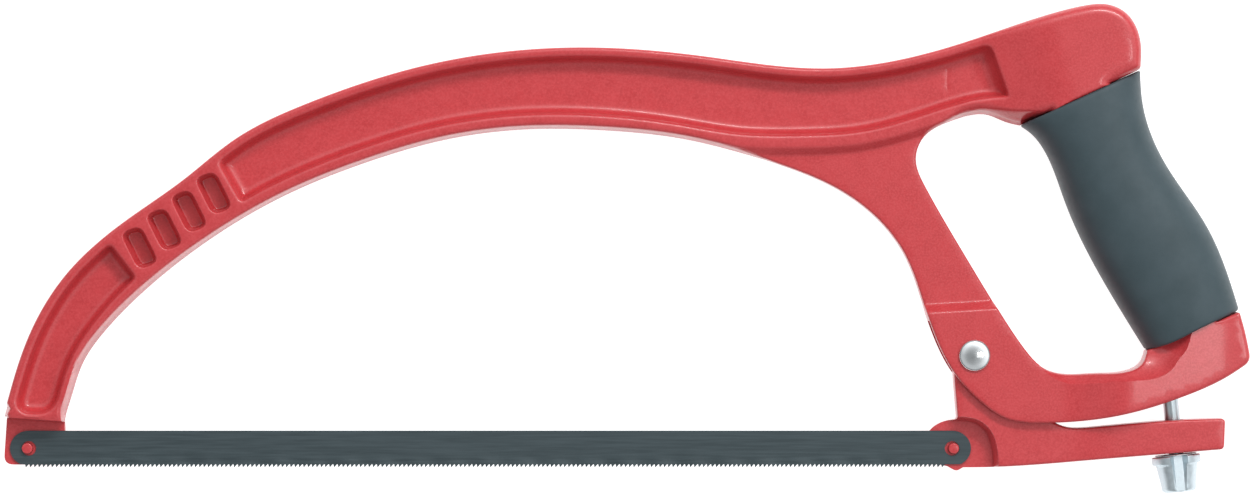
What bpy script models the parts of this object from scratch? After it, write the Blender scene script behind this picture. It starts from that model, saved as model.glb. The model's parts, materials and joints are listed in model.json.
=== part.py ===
"""Hand hacksaw with a cast bow frame, a rubber grip and a lever blade tensioner.

Design coordinates are millimetres in the plane of the frame: u runs from the front
blade pin towards the handle, v runs from the blade towards the back of the bow, and
w is the distance from the parting plane of the casting.  The saw lies on its side, so
w becomes the world Z axis.
"""
import math

import bpy
import numpy as np
from mathutils import Vector
from mathutils.geometry import delaunay_2d_cdt

MM = 0.001

# ---- nominal blade ------------------------------------------------------------------
BLADE_SPAN = 300.0          # between the two pin holes
BLADE_THICK = 0.65
BLADE_TOP = 5.75            # back edge above the hole centres
BLADE_ROOT = -5.2           # bottom of the tooth gullets
TOOTH_DEPTH = 1.0
TOOTH_PITCH = 25.4 / 18.0   # eighteen teeth to the inch
TOOTH_START = -1.5
TOOTH_END = 298.5
BLADE_END_RADIUS = 6.15
PIN_HOLE_RADIUS = 2.35
PIN_RADIUS = 1.75
PIN_SHIFT = 0.5             # each pin bears on the outer side of its hole
PIN_PROUD = 2.1             # pin height above the seat
PIN_BORE_CLEAR = 0.1
FRONT_PIN_DEPTH = 6.0
REAR_PIN_DEPTH = 3.3
SEAT_GAP = 0.05             # blade to seat

# ---- half thicknesses of the casting ------------------------------------------------
BOW_HALF = 8.0
WEB_HALF = 2.0              # web left between the two recesses
STRUT_HALF = 5.6
FORK_HALF = 9.0
HEAD_HALF = 13.0
FOOT_HALF = 13.0
CORE_HALF = 8.0             # bar inside the grip
GRIP_HALF = 15.0
LEVER_HALF = 6.0            # where it runs in the fork
LEVER_END_HALF = 6.5        # round the tension stud
SLOT_HALF = 6.3

# ---- edges of the casting -----------------------------------------------------------
DRAFT = 0.3
BOW_ROUND = 1.3
HEAD_ROUND = 3.6
FOOT_ROUND = 2.2
LEVER_ROUND = 0.9
CHAMFER = 0.4
TOP_RIM = 2.7               # outline to the lip of a recess, along the back of the bow
POST_RIM = 3.0              # the same along the inside of the front post
FRONT_RIM = 4.2             # under the bow
REAR_RIM = 3.5              # and over the strut
POST_CHANGE = (13.0, 36.0)
RIM_CHANGE = (195.0, 235.0)
RECESS_WALL = 1.5           # width of a recess's sloping wall
POCKET_WALL = 1.2
POCKET_WEB = 2.0

# ---- steps and slopes of the faces --------------------------------------------------
HEAD_TILT = math.radians(16.0)
HEAD_RAMP = (330.0, 358.0)  # the head thickens over this stretch of HEAD_RUN
FOOT_RAMP = (336.0, 357.0)  # the foot thickens over this stretch of u
FOOT_FALL = (355.0, 388.0)  # and its face falls again over this one
FOOT_DROP = 2.0
STRUT_WALL = 2.6            # width of the slope from the bow's rim to the strut
BAND_TOP = 47.2             # top of the slope from the strut to the fork
BAND_FALL = 2.6
BAND_SLOPE = 0.06
TONGUE_STEP = 10.3          # the near side is cut away below this level
TONGUE_SLOPE = -0.07
LEVER_RAMP = (337.0, 353.0)
STRUT_ZONE = (200.0, 335.0)  # stretches of u where each step applies
FORK_ZONE = 270.0
FOOT_ZONE = 60.0            # and the level below which the foot's edge does
TONGUE_ZONE = 30.0
HEAD_FLAT = [(344.0, 124.0), (354.0, 128.5), (353.0, 136.0), (345.0, 137.0)]

# ---- tensioner ----------------------------------------------------------------------
PIVOT = (306.9, 30.3)
RIVET_RADIUS = 2.7
RIVET_HOLE = 3.0
RIVET_HEAD_RADIUS = 5.1
RIVET_DOME = 1.9
RIVET_CLEAR = 0.1           # head to cheek
STUD_FOOT = (371.35, 12.2)  # a point on the stud axis
STUD_TILT = math.radians(5.6)
STUD_RADIUS = 2.5
STUD_START = -12.0          # buried in the foot
STUD_END = 23.8
STUD_CHAMFER = 0.5
STUD_BORE = 2.6
STUD_BORE_END = 1.0
LEVER_EYE = 7.1
LEVER_HOLE = 3.35
LEVER_HOLE_END = 18.0
LEVER_HOLE_SHIFT = 0.45     # room for the lever to swing past the stud
WASHER_START = 14.15
WASHER_THICK = 0.4
WASHER_RADIUS = 6.8
KNOB_START = 14.65
KNOB_FLANGE = 2.6
KNOB_FLANGE_RADIUS = 7.9
KNOB_LENGTH = 11.75
KNOB_TOP_RADIUS = 6.7
KNOB_END_RADIUS = 5.6
KNOB_BORE = 2.8
KNOB_BORE_DEPTH = 9.9
KNOB_NECK = 0.3             # flange to the top of the body
KNOB_END_CUT = 1.6
FLUTE_COUNT = 3
FLUTE_HALF_WIDTH = math.radians(21.0)
FLUTE_EDGE = math.radians(7.5)
FLUTE_FLOOR = 5.0           # flat floor of a flute to the knob's axis
FLUTE_TURN = math.radians(87.0)
CLEAR = 0.3
CUTTER_REACH = 20.0         # past both faces of the casting
BORE_DEEPER = 0.2           # blind bores are this much deeper than what they hold

# ---- grip ---------------------------------------------------------------------------
SEAM_SIDE = np.array([-0.41, 0.91])  # normal of both of the grip's seams, up the grip
CORE_FRONT = 0.24           # edges of the bar as shares of the grip width
CORE_BACK = 0.74
GRIP_STATIONS = 13          # odd, so one station is the fullest
GRIP_SIDES = 32             # a multiple of eight, so the bore has true corners
GRIP_END_HALF = 13.4
GRIP_SQUARENESS = 2.35      # superellipse exponent of the section
GRIP_SWELL = 0.8            # how quickly the grip fills out from its ends
GRIP_CROWN = 0.25           # the crown is flattened by this much, so the saw lies steadily

# ---- middle of the saw in design coordinates ----------------------------------------
MIDDLE_U = 193.99
MIDDLE_V = 64.95

# ---- resolution ---------------------------------------------------------------------
STEP = 7.0                  # spacing along gentle curves
CORNER_STEPS = 4
ROUND_STEPS = 3


# ======================================================================================
# plane curves
# ======================================================================================
def spline(points, step=STEP):
    """Natural cubic spline through the points, sampled about every step millimetres."""
    p = np.array(points, float)
    chord = np.concatenate([[0.0], np.cumsum(np.linalg.norm(np.diff(p, axis=0), axis=1))])
    count = len(p)
    h = np.diff(chord)
    matrix = np.eye(count)
    right = np.zeros((count, 2))
    for i in range(1, count - 1):
        matrix[i, i - 1] = h[i - 1]
        matrix[i, i] = 2.0 * (h[i - 1] + h[i])
        matrix[i, i + 1] = h[i]
        right[i] = 6.0 * ((p[i + 1] - p[i]) / h[i] - (p[i] - p[i - 1]) / h[i - 1])
    bend = np.linalg.solve(matrix, right)
    total = max(2, int(round(chord[-1] / step)))
    at = np.linspace(0.0, chord[-1], total + 1)
    seg = np.clip(np.searchsorted(chord, at, side="right") - 1, 0, count - 2)
    a = ((chord[seg + 1] - at) / h[seg])[:, None]
    b = 1.0 - a
    hh = (h[seg] ** 2)[:, None]
    return (a * p[seg] + b * p[seg + 1]
            + ((a ** 3 - a) * bend[seg] + (b ** 3 - b) * bend[seg + 1]) * hh / 6.0)


def trim(curve, cut):
    """Shorten a curve by the length cut, measured from its end."""
    left = cut
    pts = [np.array(q, float) for q in curve]
    while len(pts) > 2:
        last = np.linalg.norm(pts[-1] - pts[-2])
        if last > left:
            break
        left -= last
        pts.pop()
    last = np.linalg.norm(pts[-1] - pts[-2])
    pts[-1] = pts[-1] + (pts[-2] - pts[-1]) * min(left / last, 0.98)
    return np.array(pts)


def closed(pieces, steps=CORNER_STEPS):
    """Join (curve, cut) pieces into a loop; the corner after each curve is rounded by cut."""
    count = len(pieces)
    bodies = []
    for i, (curve, cut) in enumerate(pieces):
        before = pieces[i - 1][1]
        body = np.array(curve, float)
        if before > 0.0:
            body = trim(body[::-1], before)[::-1]
        if cut > 0.0:
            body = trim(body, cut)
        bodies.append(body)
    loop = []
    for i, (curve, cut) in enumerate(pieces):
        loop.extend(bodies[i][:-1])
        loop.append(bodies[i][-1])
        if cut > 0.0:
            a = bodies[i][-1]
            corner = np.array(curve[-1], float)
            b = bodies[(i + 1) % count][0]
            for k in range(1, steps):
                s = k / steps
                loop.append((1 - s) ** 2 * a + 2 * s * (1 - s) * corner + s * s * b)
    return tidy(np.array(loop))


def tidy(loop, least=0.25):
    """Drop points that sit closer together than least."""
    kept = [loop[0]]
    for q in loop[1:]:
        if np.linalg.norm(q - kept[-1]) > least:
            kept.append(q)
    if np.linalg.norm(kept[-1] - kept[0]) <= least:
        kept.pop()
    return np.array(kept)


def area(loop):
    x, y = loop[:, 0], loop[:, 1]
    return 0.5 * float(np.sum(x * np.roll(y, -1) - y * np.roll(x, -1)))


def inward(loop, hole=False):
    """Mitred normals that point into the material."""
    edge = np.roll(loop, -1, axis=0) - loop
    edge /= np.linalg.norm(edge, axis=1)[:, None]
    side = np.stack([-edge[:, 1], edge[:, 0]], axis=1)
    if (area(loop) < 0.0) != hole:
        side = -side
    both = side + np.roll(side, 1, axis=0)
    both /= np.linalg.norm(both, axis=1)[:, None]
    lean = np.clip(np.sum(both * side, axis=1), 0.5, 1.0)
    return both / lean[:, None]


def nearest(points, lines):
    """Distance from each point to the nearest of several (curve, is_closed) polylines."""
    best = np.full(len(points), 1e9)
    for curve, is_closed in lines:
        a = curve if is_closed else curve[:-1]
        b = np.roll(curve, -1, axis=0) if is_closed else curve[1:]
        for start in range(0, len(points), 2000):
            q = points[start:start + 2000]
            d = b - a
            rel = q[:, None, :] - a[None]
            s = np.clip(np.sum(rel * d[None], axis=2) / np.sum(d * d, axis=1)[None], 0.0, 1.0)
            gap = np.linalg.norm(rel - s[..., None] * d[None], axis=2).min(axis=1)
            best[start:start + 2000] = np.minimum(best[start:start + 2000], gap)
    return best


def inside(points, loop):
    """Even-odd test of points against a closed loop."""
    a = loop
    b = np.roll(loop, -1, axis=0)
    px = points[:, None, 0]
    py = points[:, None, 1]
    crosses = (a[None, :, 1] > py) != (b[None, :, 1] > py)
    run = b[:, 1] - a[:, 1]
    run = np.where(np.abs(run) < 1e-12, 1e-12, run)
    at = a[None, :, 0] + (py - a[None, :, 1]) * (b[:, 0] - a[:, 0])[None] / run[None]
    return (np.sum(crosses & (px < at), axis=1) % 2) == 1


def ramp(x, start, end):
    """Smooth rise from 0 at start to 1 at end."""
    s = np.clip((x - start) / (end - start), 0.0, 1.0)
    return s * s * (3.0 - 2.0 * s)


# ======================================================================================
# castings: a height on each side of the parting plane
# ======================================================================================
def edge_profile(depth, half, radius):
    """Height at a distance depth inside the outline: drafted wall, then a rounded edge."""
    radius = np.minimum(radius, half * 0.7)
    wall = np.maximum(half - radius, 0.0)
    s = np.clip((depth - DRAFT) / np.maximum(radius, 1e-6), 0.0, 1.0)
    curve = wall + radius * np.sqrt(np.clip(1.0 - (1.0 - s) ** 2, 0.0, 1.0))
    return np.where(depth < DRAFT, wall * np.clip(depth / DRAFT, 0.0, 1.0), curve)


def triangulate(loops, lines):
    """Constrained triangulation of closed loops and open lines."""
    verts = []
    edges = []
    for loop in loops:
        base = len(verts)
        verts.extend(Vector((float(q[0]), float(q[1]))) for q in loop)
        edges.extend((base + i, base + (i + 1) % len(loop)) for i in range(len(loop)))
    for line in lines:
        base = len(verts)
        verts.extend(Vector((float(q[0]), float(q[1]))) for q in line)
        edges.extend((base + i, base + i + 1) for i in range(len(line) - 1))
    out = delaunay_2d_cdt(verts, edges, [], 0, 1e-4)
    points = np.array([[q.x, q.y] for q in out[0]])
    faces = np.array([list(f) for f in out[2] if len(f) == 3])
    return points, faces


def casting(name, outer, holes, radius_at, top_at, bottom_at, loops, lines, rounds=ROUND_STEPS):
    """Close a two-sided casting between its outline and two height functions."""
    rings = []
    for loop, is_hole in [(outer, False)] + [(h, True) for h in holes]:
        normal = inward(loop, is_hole)
        reach = radius_at(loop)
        rings.append(loop)
        rings.append(loop + normal * DRAFT)
        for k in range(1, rounds + 1):
            share = 1.0 - math.cos(0.5 * math.pi * k / rounds)
            rings.append(loop + normal * (DRAFT + reach * share)[:, None])
    points, faces = triangulate(rings + loops, lines)
    middle = points[faces].mean(axis=1)
    keep = inside(middle, outer)
    for hole in holes:
        keep &= ~inside(middle, hole)
    faces = faces[keep]
    used = np.unique(faces)
    fresh = np.full(len(points), -1)
    fresh[used] = np.arange(len(used))
    points = points[used]
    faces = fresh[faces]
    depth = nearest(points, [(outer, True)] + [(h, True) for h in holes])
    rim = depth < 1e-3
    depth[rim] = 0.0
    top = top_at(points, depth)
    bottom = -bottom_at(points, depth)
    top[rim] = 0.0
    lower = np.full(len(points), -1)
    lower[rim] = np.nonzero(rim)[0]
    lower[~rim] = len(points) + np.arange(int(np.sum(~rim)))
    verts = np.vstack([np.column_stack([points, top]),
                       np.column_stack([points[~rim], bottom[~rim]])])
    a, b, c = points[faces[:, 0]], points[faces[:, 1]], points[faces[:, 2]]
    turn = (b[:, 0] - a[:, 0]) * (c[:, 1] - a[:, 1]) - (b[:, 1] - a[:, 1]) * (c[:, 0] - a[:, 0])
    faces[turn < 0.0] = faces[turn < 0.0][:, ::-1]
    polys = [tuple(int(i) for i in f) for f in faces]
    polys += [tuple(int(lower[i]) for i in f[::-1]) for f in faces]
    return new_object(name, verts, polys)


# ======================================================================================
# objects
# ======================================================================================
def to_world(points):
    """Design millimetres to world metres, origin under the middle of the saw."""
    return (np.asarray(points, float) + np.array([-MIDDLE_U, -MIDDLE_V, GRIP_HALF])) * MM


def volume(verts, polys):
    """Signed volume of a closed mesh."""
    total = 0.0
    for poly in polys:
        a = verts[poly[0]]
        for i in range(1, len(poly) - 1):
            total += float(np.dot(a, np.cross(verts[poly[i]], verts[poly[i + 1]])))
    return total / 6.0


def new_object(name, verts, polys, hide=False):
    """Make a mesh object from design coordinates, faces outward."""
    world = to_world(verts)
    if volume(world, polys) < 0.0:
        polys = [tuple(p)[::-1] for p in polys]
    mesh = bpy.data.meshes.new(name)
    mesh.from_pydata([tuple(q) for q in world], [], polys)
    mesh.validate()
    mesh.update()
    obj = bpy.data.objects.new(name, mesh)
    bpy.context.collection.objects.link(obj)
    if hide:
        obj.hide_render = True
        obj.display_type = "WIRE"
    return obj


def prism(name, loop, low, high, hide=False):
    """Straight prism over a loop."""
    n = len(loop)
    if area(loop) < 0.0:
        loop = loop[::-1]
    verts = [(q[0], q[1], low) for q in loop] + [(q[0], q[1], high) for q in loop]
    polys = [tuple(range(n))[::-1], tuple(range(n, 2 * n))]
    polys += [(i, (i + 1) % n, n + (i + 1) % n, n + i) for i in range(n)]
    return new_object(name, verts, polys, hide)


def circle(centre, radius, count):
    turn = np.arange(count) * 2.0 * math.pi / count
    return np.stack([centre[0] + radius * np.cos(turn), centre[1] + radius * np.sin(turn)], axis=1)


def turned(name, profile, origin, axis, count, radius_at=None, hide=False, ring=False):
    """Revolve (distance, radius) pairs about an axis; a ring joins its last row to its first."""
    axis = np.array(axis, float)
    axis /= np.linalg.norm(axis)
    side = np.array([0.0, 0.0, 1.0]) if abs(axis[2]) < 0.9 else np.array([1.0, 0.0, 0.0])
    first = np.cross(side, axis)
    first /= np.linalg.norm(first)
    second = np.cross(axis, first)
    origin = np.array(origin, float)
    verts = []
    rows = []
    for along, radius in profile:
        if radius < 1e-9:
            rows.append([len(verts)])
            verts.append(origin + axis * along)
            continue
        rows.append(list(range(len(verts), len(verts) + count)))
        for k in range(count):
            turn = 2.0 * math.pi * k / count
            reach = radius if radius_at is None else radius_at(radius, turn)
            verts.append(origin + axis * along
                         + (first * math.cos(turn) + second * math.sin(turn)) * reach)
    polys = []
    pairs = list(zip(rows[:-1], rows[1:]))
    if ring:
        pairs.append((rows[-1], rows[0]))
    for low, high in pairs:
        for k in range(count):
            m = (k + 1) % count
            if len(low) == 1 and len(high) == 1:
                continue
            if len(low) == 1:
                polys.append((low[0], high[m], high[k]))
            elif len(high) == 1:
                polys.append((low[k], low[m], high[0]))
            else:
                polys.append((low[k], low[m], high[m], high[k]))
    if not ring and len(rows[0]) > 1:
        polys.append(tuple(rows[0])[::-1])
    if not ring and len(rows[-1]) > 1:
        polys.append(tuple(rows[-1]))
    return new_object(name, verts, polys, hide)


def cut(obj, cutter):
    """Subtract a cutter with the exact solver."""
    mod = obj.modifiers.new("cut_" + cutter.name, "BOOLEAN")
    mod.operation = "DIFFERENCE"
    mod.solver = "EXACT"
    mod.object = cutter


def material(name, colour, metallic, roughness):
    mat = bpy.data.materials.new(name)
    mat.use_nodes = True
    shader = mat.node_tree.nodes["Principled BSDF"]
    shader.inputs["Base Color"].default_value = (*colour, 1.0)
    shader.inputs["Metallic"].default_value = metallic
    shader.inputs["Roughness"].default_value = roughness
    return mat


def finish(obj, mat, smooth=True):
    obj.data.materials.append(mat)
    if smooth:
        for face in obj.data.polygons:
            face.use_smooth = True
        obj.data.set_sharp_from_angle(angle=math.radians(32.0))


def hinge_origin(obj, point):
    """Move an object's origin to a design point without moving its mesh."""
    spot = to_world(point)
    for vertex in obj.data.vertices:
        vertex.co = vertex.co - Vector(spot)
    obj.location = Vector(spot)


# ======================================================================================
# outlines of the frame
# ======================================================================================
def bow_back():
    return spline([(-7.95, 10.4), (-4.5, 23.0), (-0.9, 33.7), (12.2, 56.4), (31.6, 74.0),
                   (51.0, 87.8), (67.0, 100.4), (90.0, 111.9), (128.9, 124.5), (180.7, 130.3),
                   (219.6, 127.4), (258.5, 123.5), (303.9, 132.0), (329.7, 140.6), (342.4, 143.8),
                   (349.0, 144.3), (355.6, 141.7), (360.1, 134.8), (361.0, 128.5), (360.7, 123.0)])


def bow_belly():
    """Underside of the bow, from the strut to the front post."""
    return spline([(239.3, 93.7), (213.3, 100.4), (187.2, 103.3), (161.1, 103.6), (135.0, 100.2),
                   (109.1, 92.7), (83.1, 82.1), (57.1, 66.7), (37.3, 51.0), (24.5, 37.9),
                   (17.2, 27.0), (13.6, 16.1), (11.8, 9.6), (11.6, 5.0)])


def bow_lower():
    """Lower edge of the bow rim; it runs on across the top of the strut."""
    return spline([(330.0, 108.6), (312.0, 109.9), (300.0, 107.2), (285.0, 102.4), (270.0, 98.9),
                   (250.0, 97.7), (232.0, 98.0), (213.3, 100.4), (187.2, 103.3), (161.1, 103.6),
                   (135.0, 100.2), (109.1, 92.7), (83.1, 82.1), (57.1, 66.7), (37.3, 51.0),
                   (24.5, 37.9), (17.2, 27.0), (13.6, 16.1), (11.8, 9.6)])


def grip_front():
    return spline([(322.0, 104.9), (326.0, 102.0), (330.0, 96.8), (336.7, 80.2), (349.7, 53.5),
                   (362.8, 32.0)], 4.0)


def grip_back():
    return spline([(361.1, 123.0), (361.8, 112.8), (369.4, 92.3), (382.6, 72.4), (393.2, 45.0)], 4.0)


def foot_seam():
    """Edge of the foot that meets the lower end of the grip, front to back."""
    return spline([(362.8, 32.0), (369.8, 34.1), (377.6, 38.0), (393.2, 45.0)], 4.0)


def head_seam():
    return np.array([grip_front()[0], grip_back()[0]])


def along(curve, share):
    """Point at a share of a curve's length."""
    length = np.concatenate([[0.0], np.cumsum(np.linalg.norm(np.diff(curve, axis=0), axis=1))])
    at = share * length[-1]
    return np.array([np.interp(at, length, curve[:, 0]), np.interp(at, length, curve[:, 1])])


def grip_point(share, across):
    """Point on the grip: share runs from the head to the foot, across from front to back."""
    front = along(grip_front(), share)
    back = along(grip_back(), share)
    return front + (back - front) * across


def core_edge(across):
    """One edge of the bar inside the grip, from the head to the foot."""
    return np.array([grip_point(s, across) for s in np.linspace(0.0, 1.0, GRIP_STATIONS)])


def offset(curve, gap):
    """Open curve moved sideways; positive is to the left of its direction."""
    run = np.gradient(curve, axis=0)
    run /= np.linalg.norm(run, axis=1)[:, None]
    return curve + np.stack([-run[:, 1], run[:, 0]], axis=1) * gap


def between(curve, axis, low, high):
    """Part of a curve whose coordinate on an axis lies between two values."""
    kept = []
    for a, b in zip(curve[:-1], curve[1:]):
        lo, hi = sorted((a[axis], b[axis]))
        stops = [0.0, 1.0]
        for level in (low, high):
            if lo < level < hi:
                stops.append((level - a[axis]) / (b[axis] - a[axis]))
        for s in sorted(stops):
            q = a + (b - a) * s
            if low - 1e-6 <= q[axis] <= high + 1e-6:
                kept.append(q)
    return tidy(np.array(kept), 0.05)


def frame_outer():
    """Outer loop of the casting, starting at the tongue at the front."""
    core = core_edge(CORE_BACK)
    head_in = np.array([bow_back()[-1], core[0]])
    foot_in = np.array([core[-1], (392.7, 44.6)])
    foot_back = spline([(392.7, 44.6), (394.6, 37.7), (396.4, 28.4)], 5.0)
    foot_under = spline([(396.4, 28.4), (388.2, 23.0), (375.0, 17.1), (362.0, 12.8),
                         (349.0, 9.9), (336.0, 8.5), (325.0, 8.3)])
    fork_under = spline([(325.0, 8.3), (318.2, 9.4), (308.2, 15.8), (300.1, 24.7), (293.9, 36.9),
                         (290.8, 45.7), (284.5, 62.7), (265.3, 82.6), (239.3, 93.7)], 5.0)
    tongue_back = np.array([(11.6, 5.0), (10.0, -5.3)])
    tongue_under = np.array([(10.0, -5.3), (-8.2, -5.3)])
    tongue_front = np.array([(-8.2, -5.3), (-7.2, 10.2)])
    ledge = np.array([(-7.2, 10.2), (-7.95, 10.4)])
    return closed([(bow_back(), 0.0), (head_in, 0.0), (core, 0.0),
                   (foot_in, 0.0), (foot_back, 2.6), (foot_under, 0.0), (fork_under, 0.0),
                   (bow_belly(), 0.0), (tongue_back, 2.5), (tongue_under, 3.2),
                   (tongue_front, 0.0), (ledge, 0.0)])


def hand_hole():
    """Loop of the opening for the hand."""
    core = core_edge(CORE_FRONT)
    strut = spline([(304.0, 107.8), (297.8, 105.6), (291.0, 101.3), (288.2, 94.0), (291.2, 85.2),
                    (304.3, 62.5), (317.2, 41.4), (323.6, 32.1), (330.0, 26.0), (336.7, 24.3),
                    (346.0, 24.6), (356.2, 25.2), (361.2, 27.8), (362.8, 32.0)], 5.0)
    foot_in = np.array([strut[-1], along(foot_seam(), CORE_FRONT), core[-1]])
    head_in = np.array([core[0], grip_front()[0]])
    head_front = spline([(322.0, 104.9), (317.5, 106.0), (310.7, 108.5), (304.0, 107.8)], 4.0)
    return closed([(strut, 0.0), (foot_in, 0.0), (core[::-1], 0.0), (head_in, 0.0),
                   (head_front, 0.0)])


def recess_lower():
    """Lower edge of the recesses: the rim's lower edge moved in by the rim's own width."""
    line = bow_lower()
    width = POST_RIM + (FRONT_RIM - POST_RIM) * ramp(line[:, 0], *POST_CHANGE)
    width = width + (REAR_RIM - FRONT_RIM) * ramp(line[:, 0], *RIM_CHANGE)
    return offset(line, -width[:, None])


def front_recess():
    back = between(offset(bow_back(), -TOP_RIM), 1, 16.0, 67.6)
    belly = between(recess_lower(), 1, 16.0, 54.8)
    end = np.array([back[-1], belly[0]])
    heel = np.array([belly[-1], (8.4, 10.3)])
    toe = np.array([(8.4, 10.3), (-4.4, 10.6)])
    rise = np.array([(-4.4, 10.6), back[0]])
    return closed([(back, 3.2), (end, 3.2), (belly, 0.0), (heel, 5.0), (toe, 5.4), (rise, 0.0)])


def rear_recess():
    back = between(offset(bow_back(), -TOP_RIM), 0, 60.9, 312.6)
    lower = between(recess_lower(), 0, 69.2, 319.2)
    right = np.array([back[-1], lower[0]])
    left = np.array([lower[-1], back[0]])
    return closed([(back, 4.6), (right, 3.6), (lower, 3.0), (left, 3.4)])


def pockets():
    """Four small slanted recesses along the front of the bow."""
    wide = np.array([6.6, 2.5])
    long = np.array([6.1, -12.3])
    corner_cut = 2.8
    loops = []
    for i in range(4):
        middle = np.array([36.5, 65.2]) + i * np.array([8.0, 5.9])
        corner = [middle + 0.5 * (a * wide + b * long) for a, b in
                  ((-1, -1), (1, -1), (1, 1), (-1, 1))]
        sides = [(np.array([corner[k], corner[(k + 1) % 4]]), corner_cut) for k in range(4)]
        loops.append(closed(sides, 3))
    return loops


# ======================================================================================
# heights of the frame
# ======================================================================================
HEAD_RUN = np.array([math.cos(HEAD_TILT), math.sin(HEAD_TILT)])
RECESSES = [(loop, RECESS_WALL, WEB_HALF) for loop in (front_recess(), rear_recess())]
RECESSES += [(loop, POCKET_WALL, POCKET_WEB) for loop in pockets()]


def core_zone(p):
    """True for points on the bar between the head and the foot."""
    seam = head_seam()
    run = seam[1] - seam[0]
    below_head = (p[:, 0] - seam[0][0]) * run[1] - (p[:, 1] - seam[0][1]) * run[0] > -0.5
    foot = foot_seam()
    above_foot = p[:, 1] > np.interp(p[:, 0], foot[:, 0], foot[:, 1]) - 0.01
    behind = p[:, 0] > 320.4 + (105.0 - p[:, 1]) * 0.55
    return below_head & above_foot & behind


def head_share(p):
    return ramp(p @ HEAD_RUN, *HEAD_RAMP)


def frame_half(p):
    """Half thickness of the face of the casting."""
    half = BOW_HALF + (HEAD_HALF - BOW_HALF) * head_share(p)
    line = bow_lower()[::-1]
    under = np.interp(p[:, 0], line[:, 0], line[:, 1]) - p[:, 1]
    strut = (p[:, 0] > STRUT_ZONE[0]) & (p[:, 0] < STRUT_ZONE[1])
    sink = np.clip(under / STRUT_WALL, 0.0, 1.0)
    half = np.where(strut & (under > 0.0), BOW_HALF + (STRUT_HALF - BOW_HALF) * sink, half)
    band = BAND_TOP + BAND_SLOPE * (p[:, 0] - 300.0) - p[:, 1]
    fork = STRUT_HALF + (FORK_HALF - STRUT_HALF) * np.clip(band / BAND_FALL, 0.0, 1.0)
    fork = fork + (FOOT_HALF - FORK_HALF) * ramp(p[:, 0], *FOOT_RAMP)
    fall = (p[:, 0] - FOOT_FALL[0]) / (FOOT_FALL[1] - FOOT_FALL[0])
    fork = fork - FOOT_DROP * np.clip(fall, 0.0, 1.0)
    half = np.where((p[:, 0] > FORK_ZONE) & (band > 0.0), fork, half)
    return np.where(core_zone(p), CORE_HALF, half)


def frame_round(p):
    reach = BOW_ROUND + (HEAD_ROUND - BOW_ROUND) * head_share(p)
    low = (p[:, 0] > FORK_ZONE) & (p[:, 1] < FOOT_ZONE)
    reach = np.where(low, BOW_ROUND + (FOOT_ROUND - BOW_ROUND) * ramp(p[:, 0], *FOOT_RAMP), reach)
    return np.where(core_zone(p), BOW_ROUND, reach)


def recess_height(p, half):
    """Height left by the recesses; outside them it is the face itself."""
    height = half.copy()
    for loop, wall, web in RECESSES:
        sink = np.where(inside(p, loop), nearest(p, [(loop, True)]), 0.0)
        height = np.minimum(height, half - (half - web) * np.clip(sink / wall, 0.0, 1.0))
    return height


def frame_bottom(p, depth):
    half = frame_half(p)
    return np.minimum(edge_profile(depth, half, frame_round(p)), recess_height(p, half))


def frame_top(p, depth):
    height = frame_bottom(p, depth)
    step = p[:, 1] - (TONGUE_STEP + TONGUE_SLOPE * (p[:, 0] + 7.0))
    left = np.clip(1.0 + step / DRAFT, 0.0, 1.0)
    return np.where(p[:, 0] < TONGUE_ZONE, height * left, height)


def across(level, low, high):
    """A straight line of constant height on HEAD_RUN."""
    side = np.array([-HEAD_RUN[1], HEAD_RUN[0]])
    return np.array([HEAD_RUN * level + side * low, HEAD_RUN * level + side * high])


def frame_lines():
    """Creases and guide lines on the face of the casting."""
    lines = []
    rim = between(bow_lower(), 0, 214.0, 312.0)
    for drop in (0.0, STRUT_WALL):
        lines.append(rim - np.array([0.0, drop]))
    for drop in (0.0, BAND_FALL):
        high = BAND_TOP - drop
        lines.append(np.array([(280.0, high - 20.0 * BAND_SLOPE), (325.0, high + 25.0 * BAND_SLOPE)]))
    for share in (0.0, 0.3, 0.5, 0.7, 1.0):
        level = HEAD_RAMP[0] + share * (HEAD_RAMP[1] - HEAD_RAMP[0])
        lines.append(across(level, 0.0, 60.0))
        level = FOOT_RAMP[0] + share * (FOOT_RAMP[1] - FOOT_RAMP[0])
        lines.append(np.array([(level, 0.0), (level, 31.0)]))
    for level in FOOT_FALL:
        lines.append(np.array([(level, 0.0), (level, 44.0)]))
    for drop in (0.0, DRAFT):
        start = TONGUE_STEP - drop - 5.0 * TONGUE_SLOPE
        lines.append(np.array([(-12.0, start), (20.0, start + 32.0 * TONGUE_SLOPE)]))
        seam = head_seam()
        lines.append(seam + SEAM_SIDE * drop)
        lines.append(foot_seam() - SEAM_SIDE * drop)
    return lines


def build_frame():
    loops = [np.array(HEAD_FLAT)]
    for loop, wall, _ in RECESSES:
        loops += [loop, loop + inward(loop) * wall]
    return casting("frame_casting", frame_outer(), [hand_hole()], frame_round, frame_top,
                   frame_bottom, loops, frame_lines())


# ======================================================================================
# the other pieces
# ======================================================================================
SCREW_DOWN = (math.sin(STUD_TILT), -math.cos(STUD_TILT), 0.0)


def on_screw(distance):
    """Point on the stud axis, measured away from the frame."""
    return (STUD_FOOT[0] + SCREW_DOWN[0] * distance, STUD_FOOT[1] + SCREW_DOWN[1] * distance, 0.0)


def slot_loop():
    """Room in the fork for the lever's eye and its upper edge."""
    roof = spline([(286.0, 41.5), (303.0, 41.0), (311.0, 39.3), (316.2, 34.0), (318.4, 26.0),
                   (324.0, 18.0), (331.0, 12.6), (341.0, 9.0)], 4.0)
    return closed([(roof, 0.0), (np.array([roof[-1], (341.0, -2.0)]), 0.0),
                   (np.array([(341.0, -2.0), (286.0, -2.0)]), 0.0),
                   (np.array([(286.0, -2.0), roof[0]]), 0.0)])


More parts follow.
